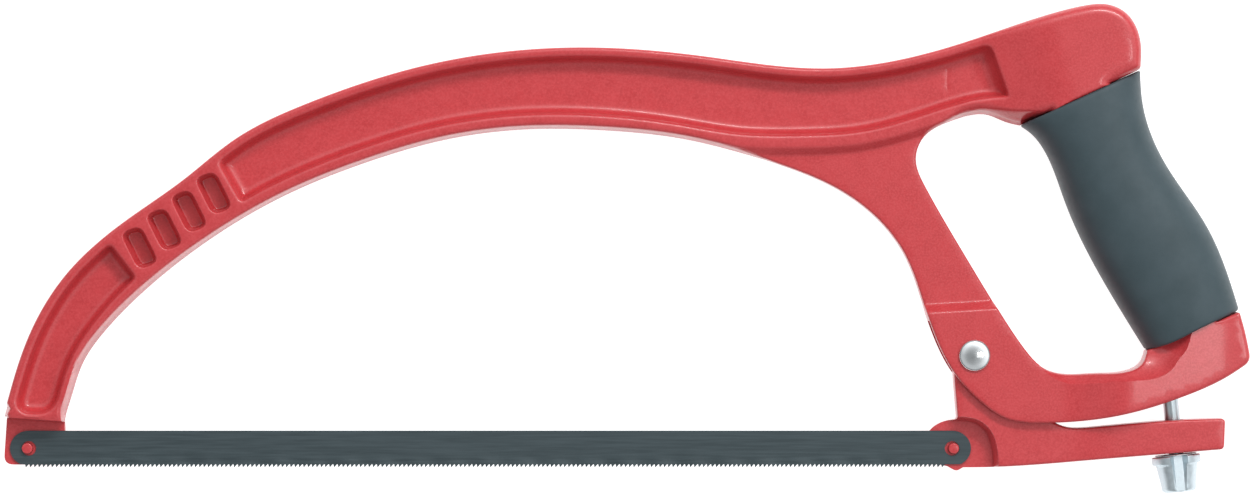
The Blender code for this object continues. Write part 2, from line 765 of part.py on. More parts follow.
def cut_frame(frame):
    cut(frame, prism("slot_cutter", slot_loop(), -SLOT_HALF, SLOT_HALF, True))
    cut(frame, prism("rivet_cutter", circle(PIVOT, RIVET_HOLE, 20), -CUTTER_REACH,
                     CUTTER_REACH, True))
    pin_bore = circle((-PIN_SHIFT, 0.0), PIN_RADIUS + PIN_BORE_CLEAR, 16)
    cut(frame, prism("front_pin_cutter", pin_bore, -FRONT_PIN_DEPTH - BORE_DEEPER, 1.0, True))
    start = STUD_START - BORE_DEEPER
    bore = [(start, 0.0), (start, STUD_BORE), (STUD_BORE_END, STUD_BORE), (STUD_BORE_END, 0.0)]
    cut(frame, turned("stud_cutter", bore, on_screw(0.0), SCREW_DOWN, 20, hide=True))


def lever_outer():
    left = spline([(300.0, 32.6), (300.1, 27.0), (300.7, 18.0), (301.4, 9.6)], 5.0)
    boss = spline([(301.4, 9.6), (296.6, 8.5), (292.2, 5.0), (291.2, 0.0), (293.4, -4.0),
                   (298.4, -5.8)], 3.0)
    nub = spline([(298.4, -5.8), (300.0, -6.7), (301.6, -7.2), (302.9, -6.6), (303.6, -6.2)], 1.0)
    under = spline([(303.6, -6.2), (312.0, -6.1), (343.0, -4.0), (388.1, -0.3)], 12.0)
    end = np.array([(388.1, -0.3), (388.5, 9.9)])
    upper = spline([(388.5, 9.9), (375.0, 9.5), (356.0, 8.1), (344.0, 7.0), (336.5, 7.2),
                    (328.0, 12.2), (321.0, 18.0), (315.6, 25.4), (313.6, 32.6)], 6.0)
    turn = np.linspace(math.radians(18.0), math.radians(162.0), 9)
    eye = np.array(PIVOT) + LEVER_EYE * np.stack([np.cos(turn), np.sin(turn)], axis=1)
    return closed([(left, 0.8), (boss, 0.0), (nub, 0.0), (under, 1.6), (end, 1.6), (upper, 0.0),
                   (eye, 0.0)], 3)


def seat_edge():
    """Edge of the recessed seat for the back end of the blade."""
    return spline([(290.0, 9.2), (301.6, 8.9), (307.5, 8.0), (310.8, 5.4), (312.6, 1.2),
                   (313.4, -9.0)], 3.0)


def lever_half(p):
    return LEVER_HALF + (LEVER_END_HALF - LEVER_HALF) * ramp(p[:, 0], *LEVER_RAMP)


def lever_round(p):
    return np.full(len(p), LEVER_ROUND)


def lever_bottom(p, depth):
    return edge_profile(depth, lever_half(p), lever_round(p))


def lever_top(p, depth):
    """The near side is cut away to the parting plane at the seat."""
    seat = np.vstack([seat_edge(), [(270.0, -9.0), (270.0, 9.2)]])
    gap = nearest(p, [(seat_edge(), False)])
    keep = np.where(inside(p, seat), 0.0, np.clip(gap / DRAFT, 0.0, 1.0))
    return lever_bottom(p, depth) * keep


def build_lever():
    lines = [seat_edge(), offset(seat_edge(), DRAFT)]
    for level in np.linspace(*LEVER_RAMP, 4):
        lines.append(np.array([(level, -12.0), (level, 14.0)]))
    lever = casting("tension_lever", lever_outer(), [], lever_round, lever_top, lever_bottom,
                    [], lines, 2)
    cut(lever, prism("eye_cutter", circle(PIVOT, RIVET_HOLE, 20), -CUTTER_REACH,
                     CUTTER_REACH, True))
    pin_bore = circle((BLADE_SPAN + PIN_SHIFT, 0.0), PIN_RADIUS + PIN_BORE_CLEAR, 16)
    cut(lever, prism("rear_pin_cutter", pin_bore, -REAR_PIN_DEPTH - BORE_DEEPER, 1.0, True))
    side = np.array([-SCREW_DOWN[1], SCREW_DOWN[0], 0.0])
    start = np.array(on_screw(0.0)) + LEVER_HOLE_SHIFT * side
    hole = [(0.0, 0.0), (0.0, LEVER_HOLE), (LEVER_HOLE_END, LEVER_HOLE), (LEVER_HOLE_END, 0.0)]
    cut(lever, turned("lever_hole_cutter", hole, start, SCREW_DOWN, 24, hide=True))
    return lever


def blade_loop():
    """Back, round ends and the row of teeth that point forward."""
    front = math.pi * np.linspace(0.5, 1.35, 9)
    loop = [(BLADE_END_RADIUS * math.cos(t), BLADE_TOP * math.sin(t)) for t in front]
    ends = len(loop)
    count = int((TOOTH_END - TOOTH_START) / TOOTH_PITCH)
    for i in range(count):
        x = TOOTH_START + i * TOOTH_PITCH
        loop.append((x, BLADE_ROOT))
        loop.append((x + 0.34 * TOOTH_PITCH, BLADE_ROOT - TOOTH_DEPTH))
    loop.append((TOOTH_START + count * TOOTH_PITCH, BLADE_ROOT))
    loop += [(BLADE_SPAN - x, y) for x, y in loop[ends - 1::-1]]
    return np.array(loop)


def build_blade():
    blade = prism("blade", blade_loop(), SEAT_GAP, SEAT_GAP + BLADE_THICK)
    for tag, u in (("front", 0.0), ("rear", BLADE_SPAN)):
        hole = circle((u, 0.0), PIN_HOLE_RADIUS, 20)
        cut(blade, prism(tag + "_hole_cutter", hole, -CUTTER_REACH, CUTTER_REACH, True))
    return blade


def build_pin(name, u, bottom):
    """A blade pin with a lightly chamfered end."""
    rows = [(bottom, 0.0), (bottom, PIN_RADIUS), (PIN_PROUD - CHAMFER, PIN_RADIUS),
            (PIN_PROUD, PIN_RADIUS - CHAMFER), (PIN_PROUD, 0.0)]
    return turned(name, rows, (u, 0.0, 0.0), (0.0, 0.0, 1.0), 16)


def build_rivet():
    """Rivet with a domed head on each cheek of the fork."""
    face = FORK_HALF + RIVET_CLEAR
    rows = []
    for lift in (90.0, 60.0, 30.0, 0.0):
        t = math.radians(lift)
        rows.append((face + RIVET_DOME * math.sin(t), RIVET_HEAD_RADIUS * math.cos(t)))
    rows[0] = (face + RIVET_DOME, 0.0)
    near = rows + [(face, RIVET_RADIUS)]
    far = [(-height, radius) for height, radius in near[::-1]]
    return turned("pivot_rivet", near + far, (*PIVOT, 0.0), (0.0, 0.0, 1.0), 24)


def build_stud():
    rows = [(STUD_START, 0.0), (STUD_START, STUD_RADIUS), (STUD_END - STUD_CHAMFER, STUD_RADIUS),
            (STUD_END, STUD_RADIUS - STUD_CHAMFER), (STUD_END, 0.0)]
    return turned("tension_stud", rows, on_screw(0.0), SCREW_DOWN, 20)


def build_washer():
    end = WASHER_START + WASHER_THICK
    rows = [(WASHER_START, KNOB_BORE), (WASHER_START, WASHER_RADIUS), (end, WASHER_RADIUS),
            (end, KNOB_BORE)]
    return turned("thrust_washer", rows, on_screw(0.0), SCREW_DOWN, 24, ring=True)


def knob_reach(radius, turn):
    """Outer radius of the knob with its three flat flutes."""
    if radius < FLUTE_FLOOR:
        return radius
    pitch = 2.0 * math.pi / FLUTE_COUNT
    off = abs((turn - FLUTE_TURN + 0.5 * pitch) % pitch - 0.5 * pitch)
    flat = min(radius, FLUTE_FLOOR / math.cos(off))
    share = min(1.0, max(0.0, (off - FLUTE_HALF_WIDTH) / FLUTE_EDGE + 1.0))
    return flat + (radius - flat) * share


def build_knob():
    start = KNOB_START
    flange = start + KNOB_FLANGE
    end = start + KNOB_LENGTH
    rows = [(start + KNOB_BORE_DEPTH, 0.0), (start + KNOB_BORE_DEPTH, KNOB_BORE),
            (start, KNOB_BORE), (start, KNOB_FLANGE_RADIUS - CHAMFER),
            (start + CHAMFER, KNOB_FLANGE_RADIUS), (flange - CHAMFER, KNOB_FLANGE_RADIUS),
            (flange + KNOB_NECK, KNOB_TOP_RADIUS), (end - KNOB_END_CUT, KNOB_END_RADIUS),
            (end - CHAMFER, KNOB_END_RADIUS - CHAMFER), (end, KNOB_END_RADIUS - KNOB_END_CUT),
            (end, 0.0)]
    return turned("tension_knob", rows, on_screw(0.0), SCREW_DOWN, 48, knob_reach)


def seam_gap(share, across_share):
    """Shift of the sleeve's two end sections, just clear of the head and of the foot's seam."""
    if share == 0.0:
        return -SEAM_SIDE * CLEAR
    if share == 1.0:
        foot = foot_seam()
        q = grip_point(1.0, across_share)
        sag = q[1] - np.interp(q[0], foot[:, 0], foot[:, 1])
        return SEAM_SIDE * CLEAR - np.array([0.0, sag])
    return np.zeros(2)


def grip_section(share):
    """Outer ring and bore ring of the sleeve at a share of the grip."""
    swell = GRIP_HALF + GRIP_CROWN - GRIP_END_HALF
    half = GRIP_END_HALF + swell * math.sin(math.pi * share) ** GRIP_SWELL
    outer = []
    bore = []
    bore_half = CORE_HALF + CLEAR
    middle = 0.5 * (CORE_FRONT + CORE_BACK)
    width = np.linalg.norm(grip_point(share, 1.0) - grip_point(share, 0.0))
    reach = 0.5 * (CORE_BACK - CORE_FRONT) + CLEAR / width
    for k in range(GRIP_SIDES):
        turn = 2.0 * math.pi * k / GRIP_SIDES
        c, s = math.cos(turn), math.sin(turn)
        power = 2.0 / GRIP_SQUARENESS
        x = math.copysign(abs(c) ** power, c)
        z = math.copysign(abs(s) ** power, s)
        place = 0.5 + 0.5 * x
        q = grip_point(share, place) + seam_gap(share, place)
        outer.append((q[0], q[1], min(GRIP_HALF, max(-GRIP_HALF, half * z))))
        scale = 1.0 / max(abs(c), abs(s))
        place = middle + reach * c * scale
        q = grip_point(share, place) + seam_gap(share, place)
        bore.append((q[0], q[1], bore_half * s * scale))
    return outer, bore


def build_grip():
    """Sleeve of rubber round the bar, lofted between the head and the foot."""
    rings = [grip_section(share) for share in np.linspace(0.0, 1.0, GRIP_STATIONS)]
    verts = [q for outer, bore in rings for q in outer + bore]
    n = GRIP_SIDES
    polys = []
    for i in range(len(rings) - 1):
        for base in (0, n):
            for k in range(n):
                m = (k + 1) % n
                low = 2 * n * i + base
                quad = (low + k, low + m, low + 2 * n + m, low + 2 * n + k)
                polys.append(quad if base == 0 else quad[::-1])
    for i, flip in ((0, False), (len(rings) - 1, True)):
        low = 2 * n * i
        for k in range(n):
            m = (k + 1) % n
            quad = (low + m, low + k, low + n + k, low + n + m)
            polys.append(quad[::-1] if flip else quad)
    return new_object("grip_sleeve", verts, polys)


# ======================================================================================
# build
# ======================================================================================
for old in list(bpy.data.objects):
    bpy.data.objects.remove(old, do_unlink=True)

red = material("red_powder_coat", (0.52, 0.035, 0.045), 0.0, 0.42)
lever_red = material("lever_powder_coat", (0.52, 0.035, 0.045), 0.0, 0.42)
front_pin_red = material("front_pin_coat", (0.5, 0.035, 0.04), 0.0, 0.45)
rear_pin_red = material("rear_pin_coat", (0.5, 0.035, 0.04), 0.0, 0.45)
rubber = material("grip_rubber", (0.075, 0.095, 0.105), 0.0, 0.62)
blade_steel = material("blued_blade_steel", (0.065, 0.085, 0.095), 0.6, 0.45)
chrome = material("rivet_chrome", (0.8, 0.8, 0.8), 1.0, 0.12)
stud_zinc = material("stud_zinc", (0.6, 0.63, 0.65), 1.0, 0.3)
washer_zinc = material("washer_zinc", (0.5, 0.52, 0.53), 1.0, 0.35)
knob_zinc = material("knob_zinc", (0.6, 0.64, 0.66), 1.0, 0.32)

frame = build_frame()
cut_frame(frame)
finish(frame, red)
lever = build_lever()
finish(lever, lever_red)
finish(build_blade(), blade_steel, False)
finish(build_pin("front_blade_pin", -PIN_SHIFT, -FRONT_PIN_DEPTH), front_pin_red)
finish(build_pin("rear_blade_pin", BLADE_SPAN + PIN_SHIFT, -REAR_PIN_DEPTH), rear_pin_red)
finish(build_rivet(), chrome)
finish(build_stud(), stud_zinc)
washer = build_washer()
finish(washer, washer_zinc)
knob = build_knob()
finish(knob, knob_zinc)
finish(build_grip(), rubber)
hinge_origin(lever, (*PIVOT, 0.0))
hinge_origin(washer, on_screw(WASHER_START))
hinge_origin(knob, on_screw(KNOB_START))
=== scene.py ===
"""Looks of the hand hacksaw: fine castings, blade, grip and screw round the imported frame.

Design coordinates are the CAD's, in millimetres: u runs from the front blade pin towards
the handle, v from the blade towards the back of the bow, and w from the parting plane of
the casting.  The frame gives where they lie in the world.
"""
import json
import math

import bpy
import numpy as np
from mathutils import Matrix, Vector
from mathutils.geometry import delaunay_2d_cdt
from mathutils.kdtree import KDTree


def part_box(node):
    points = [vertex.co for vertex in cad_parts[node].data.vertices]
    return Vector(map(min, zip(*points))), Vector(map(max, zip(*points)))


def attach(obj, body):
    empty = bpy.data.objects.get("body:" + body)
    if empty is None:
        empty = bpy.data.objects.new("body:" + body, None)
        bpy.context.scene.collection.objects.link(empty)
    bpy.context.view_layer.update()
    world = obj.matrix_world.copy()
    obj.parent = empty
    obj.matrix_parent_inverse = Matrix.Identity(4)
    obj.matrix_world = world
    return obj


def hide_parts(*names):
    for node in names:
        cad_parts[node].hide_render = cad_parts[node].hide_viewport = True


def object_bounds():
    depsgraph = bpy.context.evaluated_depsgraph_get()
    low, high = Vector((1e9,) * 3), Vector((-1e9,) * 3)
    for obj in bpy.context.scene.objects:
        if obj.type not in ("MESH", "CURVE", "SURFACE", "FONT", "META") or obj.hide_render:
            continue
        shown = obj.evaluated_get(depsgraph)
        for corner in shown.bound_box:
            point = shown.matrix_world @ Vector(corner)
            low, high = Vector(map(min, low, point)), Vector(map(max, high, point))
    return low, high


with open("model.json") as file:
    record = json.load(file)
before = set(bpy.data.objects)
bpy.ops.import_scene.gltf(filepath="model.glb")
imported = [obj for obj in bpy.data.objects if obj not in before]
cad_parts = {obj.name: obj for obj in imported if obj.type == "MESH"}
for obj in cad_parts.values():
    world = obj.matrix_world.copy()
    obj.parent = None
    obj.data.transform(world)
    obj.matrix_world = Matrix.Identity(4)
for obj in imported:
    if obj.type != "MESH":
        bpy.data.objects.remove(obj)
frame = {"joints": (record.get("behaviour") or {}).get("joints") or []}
cad_low, cad_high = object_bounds()

MM = 0.001

# ==== places and sizes read from the frame ====
PIN_SHIFT = 0.5             # each pin bears on the outer side of its hole


def box_mm(node):
    """Corners of a CAD node in world millimetres."""
    low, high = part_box(node)
    return np.array(low) / MM, np.array(high) / MM


def middle(node):
    """Centre of a CAD node's box."""
    low, high = box_mm(node)
    return 0.5 * (low + high)


def half_depth(node):
    """Half of a CAD node's thickness."""
    low, high = box_mm(node)
    return 0.5 * (high[2] - low[2])


JOINTS = {joint["name"]: joint for joint in frame["joints"]}
FRONT_PIN = middle("front_blade_pin")
ORIGIN = np.array([FRONT_PIN[0] + PIN_SHIFT, FRONT_PIN[1], middle("frame_casting")[2]])
PIVOT = (np.array(JOINTS["lever_pivot"]["pos_m"]) / MM - ORIGIN)[:2]
SCREW_DOWN = np.array(JOINTS["knob_spin"]["axis"], float)
KNOB_START = 14.65          # from the stud's datum to the knob
SCREW_DATUM = np.array(JOINTS["knob_spin"]["pos_m"]) / MM - ORIGIN - SCREW_DOWN * KNOB_START
BLADE_SPAN = middle("rear_blade_pin")[0] - FRONT_PIN[0] - 2.0 * PIN_SHIFT
BLADE_LOW = box_mm("blade")[0][2] - ORIGIN[2]
BLADE_THICK = 2.0 * half_depth("blade")

# ---- half thicknesses ----
HEAD_HALF = half_depth("frame_casting")
GRIP_HALF = half_depth("grip_sleeve")
LEVER_END_HALF = half_depth("tension_lever")
BOW_HALF = 8.0
WEB_HALF = 2.0
STRUT_HALF = 5.6
FORK_HALF = 9.0
CORE_HALF = 8.0
GRIP_END_HALF = 13.4
LEVER_HALF = 6.0
SLOT_HALF = 6.3

# ---- edges ----
DRAFT = 0.15
BELLY_DRAFT = 1.0           # under the bow and over the hand, where the wall leans more
POST_DRAFT = 1.6            # the same behind the front post
BOW_ROUND = 1.3
STRUT_ROUND = 0.8
HEAD_ROUND = 3.6
HOLE_HEAD_ROUND = 3.4
SCOOP_DEPTH = 5.0           # hollow above the saddle of the foot
SCOOP_REACH = 9.0
LEVER_ROUND = 0.9
EYE_RADIUS = 7.1            # outside of the lever's eye
TOP_RIM = 2.0               # outline to the start of a recess's lip
POST_RIM = 2.4
FRONT_RIM = 3.5
REAR_RIM = 2.8
POST_CHANGE = (13.0, 36.0)
RIM_CHANGE = (195.0, 235.0)
WALL_LEAN = math.radians(80.0)
RECESS_LIP = 1.45
RECESS_TOE = 2.8
POCKET_LIP = 0.6
POCKET_TOE = 0.7
POCKET_WEB = 2.0
END_COVE = 8.0              # length of the wide cove at the recess's end by the head
END_START = 1.0
END_RUN = np.array([0.385, -0.923])     # direction of that end's lip, downwards
END_AT = np.array([314.2, 127.0])
SCRIBE_AT = 298.4           # a faint line across the recess's floor
SCRIBE_HALF = 0.25
SCRIBE_DEPTH = 0.045
STRUT_WALL = 2.6
STRUT_BEND = 0.75
BAND_BEND = 0.7
HEAD_RUN = np.array([math.cos(math.radians(16.0)), math.sin(math.radians(16.0))])
HEAD_RAMP = (330.0, 358.0)
FOOT_RAMP = (336.0, 357.0)
FOOT_FALL = (355.0, 388.0)  # the foot's face falls gently over this stretch
FOOT_DROP = 2.0
BAND_TOP = 47.2
BAND_FALL = 2.6
BAND_SLOPE = 0.06
TONGUE_STEP = 10.3
TONGUE_SLOPE = -0.07
TONGUE_FACE = 0.6           # width of the step's face

# ---- where each part of the frame lies ----
POST_SIDE = 30.0            # the front post is before this u
STRUT_SPAN = (200.0, 335.0)
STRUT_LEFT = 225.0          # the strut's outer edge lies past this u and below STRUT_TOP
STRUT_TOP = 97.0
FORK_SIDE = 270.0           # the fork and the foot lie past this u
FOOT_SIDE = 330.0
FOOT_TOP = 60.0
HOLE_RAMP = (290.0, 308.0)  # the hand hole's edge widens towards the head over this stretch
HOLE_TOP = 92.0             # and only above this v
GRIP_MIDDLE = 80.0          # the head's seam lies above this v, the foot's below
HEAD_SEAM_LEFT = 318.0
FOOT_SEAM_LEFT = 362.0
HEAD_SEAM_ROUND = 1.2
FOOT_SEAM_ROUND = 0.7
HEAD_WAY = np.array([-0.42, 0.91])      # from each seam into the casting
FOOT_WAY = np.array([0.42, -0.91])

# ---- grip ----
CORE_FRONT = 0.24
CORE_BACK = 0.74
GRIP_SQUARENESS = 2.35
CLEAR = 0.3
SEAM_CLEAR = 0.03           # gap that shows at both ends of the sleeve
GRIP_SWELL = 0.8            # how quickly the grip fills out from its ends
GRIP_LIP = 0.9              # round at each end of the sleeve
GRIP_LENGTH = 84.0

# ---- bores ----
THROUGH = 14.0              # half length of a cutter that goes right through
PIN_RADIUS = 1.75
PIN_BORE = 1.85
EYE_BORE = 3.0              # for the rivet
STUD_START = -12.2          # inner end of the stud's blind bore
STUD_BORE = 2.6
LEVER_BORE = 3.35           # room for the stud in the lever
LEVER_BORE_SHIFT = 0.45
LEVER_BORE_END = 18.0

# ---- mesh size ----
STEP = 1.6                  # along curves
FILL = 2.4                  # between points on the faces
STAGGER = 0.866             # row pitch of that grid as a share of its spacing
ON_RIM = 1e-3               # a point this close to the outline lies on it
ROUND_STEPS = 6


# ==== plane curves ====
def lengths(curve):
    """Length along a curve at each of its points."""
    return np.concatenate([[0.0], np.cumsum(np.linalg.norm(np.diff(curve, axis=0), axis=1))])


def spline(points, step=STEP):
    """Natural cubic spline through the points, sampled about every step millimetres."""
    p = np.array(points, float)
    chord = lengths(p)
    count = len(p)
    h = np.diff(chord)
    matrix = np.eye(count)
    right = np.zeros((count, 2))
    for i in range(1, count - 1):
        matrix[i, i - 1] = h[i - 1]
        matrix[i, i] = 2.0 * (h[i - 1] + h[i])
        matrix[i, i + 1] = h[i]
        right[i] = 6.0 * ((p[i + 1] - p[i]) / h[i] - (p[i] - p[i - 1]) / h[i - 1])
    bend = np.linalg.solve(matrix, right)
    total = max(2, int(round(chord[-1] / step)))
    at = np.linspace(0.0, chord[-1], total + 1)
    seg = np.clip(np.searchsorted(chord, at, side="right") - 1, 0, count - 2)
    a = ((chord[seg + 1] - at) / h[seg])[:, None]
    b = 1.0 - a
    hh = (h[seg] ** 2)[:, None]
    return (a * p[seg] + b * p[seg + 1]
            + ((a ** 3 - a) * bend[seg] + (b ** 3 - b) * bend[seg + 1]) * hh / 6.0)


def straight(start, end, step=STEP):
    """Straight line with a point about every step millimetres."""
    start = np.array(start, float)
    end = np.array(end, float)
    count = max(1, int(round(np.linalg.norm(end - start) / step)))
    share = np.linspace(0.0, 1.0, count + 1)[:, None]
    return start + (end - start) * share


def trim(curve, cut):
    """Shorten a curve by the length cut, measured from its end."""
    left = cut
    pts = [np.array(q, float) for q in curve]
    while len(pts) > 2:
        last = np.linalg.norm(pts[-1] - pts[-2])
        if last > left:
            break
        left -= last
        pts.pop()
    last = np.linalg.norm(pts[-1] - pts[-2])
    pts[-1] = pts[-1] + (pts[-2] - pts[-1]) * min(left / last, 0.98)
    return np.array(pts)


def closed(pieces, steps=7):
    """Join (curve, cut) pieces into a loop; the corner after each curve is rounded by cut."""
    count = len(pieces)
    bodies = []
    for i, (curve, cut) in enumerate(pieces):
        before = pieces[i - 1][1]
        body = np.array(curve, float)
        if before > 0.0:
            body = trim(body[::-1], before)[::-1]
        if cut > 0.0:
            body = trim(body, cut)
        bodies.append(body)
    loop = []
    for i, (curve, cut) in enumerate(pieces):
        loop.extend(bodies[i])
        if cut > 0.0:
            a = bodies[i][-1]
            corner = np.array(curve[-1], float)
            b = bodies[(i + 1) % count][0]
            for k in range(1, steps):
                s = k / steps
                loop.append((1 - s) ** 2 * a + 2 * s * (1 - s) * corner + s * s * b)
    return tidy(np.array(loop))


def tidy(loop, least=0.12):
    """Drop points that sit closer together than least."""
    kept = [loop[0]]
    for q in loop[1:]:
        if np.linalg.norm(q - kept[-1]) > least:
            kept.append(q)
    if np.linalg.norm(kept[-1] - kept[0]) <= least:
        kept.pop()
    return np.array(kept)


def area(loop):
    """Signed area of a loop, positive when it runs anticlockwise."""
    x, y = loop[:, 0], loop[:, 1]
    return 0.5 * float(np.sum(x * np.roll(y, -1) - y * np.roll(x, -1)))


def inward(loop, hole=False):
    """Mitred normals that point into the material."""
    edge = np.roll(loop, -1, axis=0) - loop
    edge /= np.linalg.norm(edge, axis=1)[:, None]
    side = np.stack([-edge[:, 1], edge[:, 0]], axis=1)
    if (area(loop) < 0.0) != hole:
        side = -side
    both = side + np.roll(side, 1, axis=0)
    both /= np.linalg.norm(both, axis=1)[:, None]
    lean = np.clip(np.sum(both * side, axis=1), 0.5, 1.0)
    return both / lean[:, None]


def offset(curve, gap):
    """Open curve moved sideways; positive is to the left of its direction."""
    run = np.gradient(curve, axis=0)
    run /= np.linalg.norm(run, axis=1)[:, None]
    return curve + np.stack([-run[:, 1], run[:, 0]], axis=1) * gap


def between(curve, axis, low, high):
    """Part of a curve whose coordinate on an axis lies between two values."""
    kept = []
    for a, b in zip(curve[:-1], curve[1:]):
        lo, hi = sorted((a[axis], b[axis]))
        stops = [0.0, 1.0]
        for level in (low, high):
            if lo < level < hi:
                stops.append((level - a[axis]) / (b[axis] - a[axis]))
        for s in sorted(stops):
            q = a + (b - a) * s
            if low - 1e-6 <= q[axis] <= high + 1e-6:
                kept.append(q)
    return tidy(np.array(kept), 0.05)


def along(curve, share):
    """Point at a share of a curve's length."""
    length = lengths(curve)
    at = share * length[-1]
    return np.array([np.interp(at, length, curve[:, 0]), np.interp(at, length, curve[:, 1])])


def tree_of(points):
    """Search tree over plane points."""
    tree = KDTree(len(points))
    for i, q in enumerate(points):
        tree.insert((q[0], q[1], 0.0), i)
    tree.balance()
    return tree


def reach_to(points, curve, is_closed):
    """Distance from each point to a finely sampled polyline, by its nearest sample."""
    tree = tree_of(curve)
    near = np.array([tree.find((q[0], q[1], 0.0))[1] for q in points], int)
    best = np.full(len(points), 1e9)
    count = len(curve)
    for shift in (-1, 0):
        start = near + shift
        end = start + 1
        if is_closed:
            start = start % count
            end = end % count
        else:
            start = np.clip(start, 0, count - 2)
            end = start + 1
        a = curve[start]
        d = curve[end] - a
        s = np.clip(np.sum((points - a) * d, axis=1) / np.sum(d * d, axis=1), 0.0, 1.0)
        best = np.minimum(best, np.linalg.norm(points - a - d * s[:, None], axis=1))
    return best


def inside(points, loop):
    """Even-odd test of points against a closed loop."""
    a = loop
    b = np.roll(loop, -1, axis=0)
    run = b[:, 1] - a[:, 1]
    run = np.where(np.abs(run) < 1e-12, 1e-12, run)
    slope = (b[:, 0] - a[:, 0]) / run
    result = np.zeros(len(points), bool)
    for start in range(0, len(points), 4000):
        q = points[start:start + 4000]
        px = q[:, None, 0]
        py = q[:, None, 1]
        crosses = (a[None, :, 1] > py) != (b[None, :, 1] > py)
        at = a[None, :, 0] + (py - a[None, :, 1]) * slope[None]
        result[start:start + 4000] = (np.sum(crosses & (px < at), axis=1) % 2) == 1
    return result


def depth_in(points, loop):
    """Signed distance to a closed loop, positive inside it."""
    gap = reach_to(points, loop, True)
    return np.where(inside(points, loop), gap, -gap)


def ramp(x, start, end):
    """Smooth rise from 0 at start to 1 at end."""
    s = np.clip((x - start) / (end - start), 0.0, 1.0)
    return s * s * (3.0 - 2.0 * s)


def bend(x, reach):
    """Zero before the origin and x after it, with a round of that reach between."""
    return np.clip(x + reach, 0.0, 2.0 * reach) ** 2 / (4.0 * reach) + np.maximum(x - reach, 0.0)


def slope_between(x, width, lip, floor):
    """0 before the origin and 1 after width, with rounded ends."""
    return (bend(x, lip) - bend(x - width, floor)) / width


# ==== castings: a height on each side of the parting plane ====
def edge_profile(depth, half, radius, draft=DRAFT):
    """Height at a distance depth inside the outline: drafted wall, then a rounded edge."""
    radius = np.minimum(radius, half * 0.7)
    wall = np.maximum(half - radius, 0.0)
    s = np.clip((depth - draft) / np.maximum(radius, 1e-6), 0.0, 1.0)
    curve = wall + radius * np.sqrt(np.clip(1.0 - (1.0 - s) ** 2, 0.0, 1.0))
    return np.where(depth < draft, wall * np.clip(depth / draft, 0.0, 1.0), curve)


def offset_ring(loop, normal, distance):
    """Loop moved inward, without the points that its corners fold over."""
    moved = loop + normal * np.reshape(distance, (-1, 1))
    clear = reach_to(moved, loop, True) > np.abs(distance) * 0.985 - 1e-4
    return tidy(moved[clear], 0.08)


def edge_rings(loop, is_hole, radius_at, draft_at):
    """The outline and the rings that its drafted wall and rounded edge need."""
    normal = inward(loop, is_hole)
    radius = radius_at(loop)
    draft = draft_at(loop)
    rings = [loop, offset_ring(loop, normal, draft)]
    for k in range(1, ROUND_STEPS + 1):
        share = 1.0 - math.cos(0.5 * math.pi * k / ROUND_STEPS)
        rings.append(offset_ring(loop, normal, draft + radius * share))
    return rings


def wall_stops(depth, lip, toe):
    """Where a recess's wall starts and ends, and where its floor starts, from the lip in."""
    drop = depth - (lip + toe) * (1.0 - math.cos(WALL_LEAN))
    start = lip * math.sin(WALL_LEAN)
    end = start + drop / math.tan(WALL_LEAN)
    return start, end, end + toe * math.sin(WALL_LEAN)


def recess_depth(x, depth, lip, toe):
    """Depth at a distance x inside a recess: rounded lip, steep wall, fillet and floor."""
    start, end, floor = wall_stops(depth, lip, toe)
    brink = lip - np.sqrt(lip ** 2 - np.clip(x, 0.0, start) ** 2)
    wall = lip * (1.0 - math.cos(WALL_LEAN)) + (x - start) * math.tan(WALL_LEAN)
    foot = depth - toe + np.sqrt(toe ** 2 - (floor - np.clip(x, end, floor)) ** 2)
    return np.where(x < start, brink, np.where(x < end, wall, foot))


def wall_rings(loop, depth, lip, toe):
    """Rings along a recess: its rounded lip, its wall and the fillet at its floor."""
    normal = inward(loop)
    floor = wall_stops(depth, lip, toe)[2]
    turns = [math.sin(WALL_LEAN * k / 4.0) for k in range(5)]
    stops = [lip * turn for turn in turns]
    stops += [floor - toe * turn for turn in turns[::-1]]
    return [offset_ring(loop, normal, np.full(len(loop), stop)) for stop in stops]


def fill_points(outer, taken, spacing=FILL, clear=0.8):
    """Staggered grid of points inside a loop that keep clear of the points taken."""
    tree = tree_of(taken)
    low, high = outer.min(axis=0), outer.max(axis=0)
    pitch = spacing * STAGGER
    rows = int((high[1] - low[1]) / pitch) + 1
    cols = int((high[0] - low[0]) / spacing) + 1
    grid = np.array([(low[0] + (c + 0.5 * (r % 2)) * spacing, low[1] + r * pitch)
                     for r in range(rows) for c in range(cols)])
    grid = grid[inside(grid, outer)]
    return np.array([q for q in grid if tree.find((q[0], q[1], 0.0))[2] > clear])


def triangulate(loops, lines, extra):
    """Constrained triangulation of closed loops, open lines and loose points."""
    points = []
    edges = []
    for curve, is_closed in [(q, True) for q in loops] + [(q, False) for q in lines]:
        base = len(points)
        count = len(curve)
        points.extend(curve)
        edges.extend((base + i, base + (i + 1) % count) for i in range(count - (not is_closed)))
    points.extend(extra)
    verts = [Vector((float(q[0]), float(q[1]))) for q in points]
    out = delaunay_2d_cdt(verts, edges, [], 0, 1e-4)
    points = np.array([[q.x, q.y] for q in out[0]])
    faces = np.array([list(f) for f in out[2] if len(f) == 3])
    return points, faces


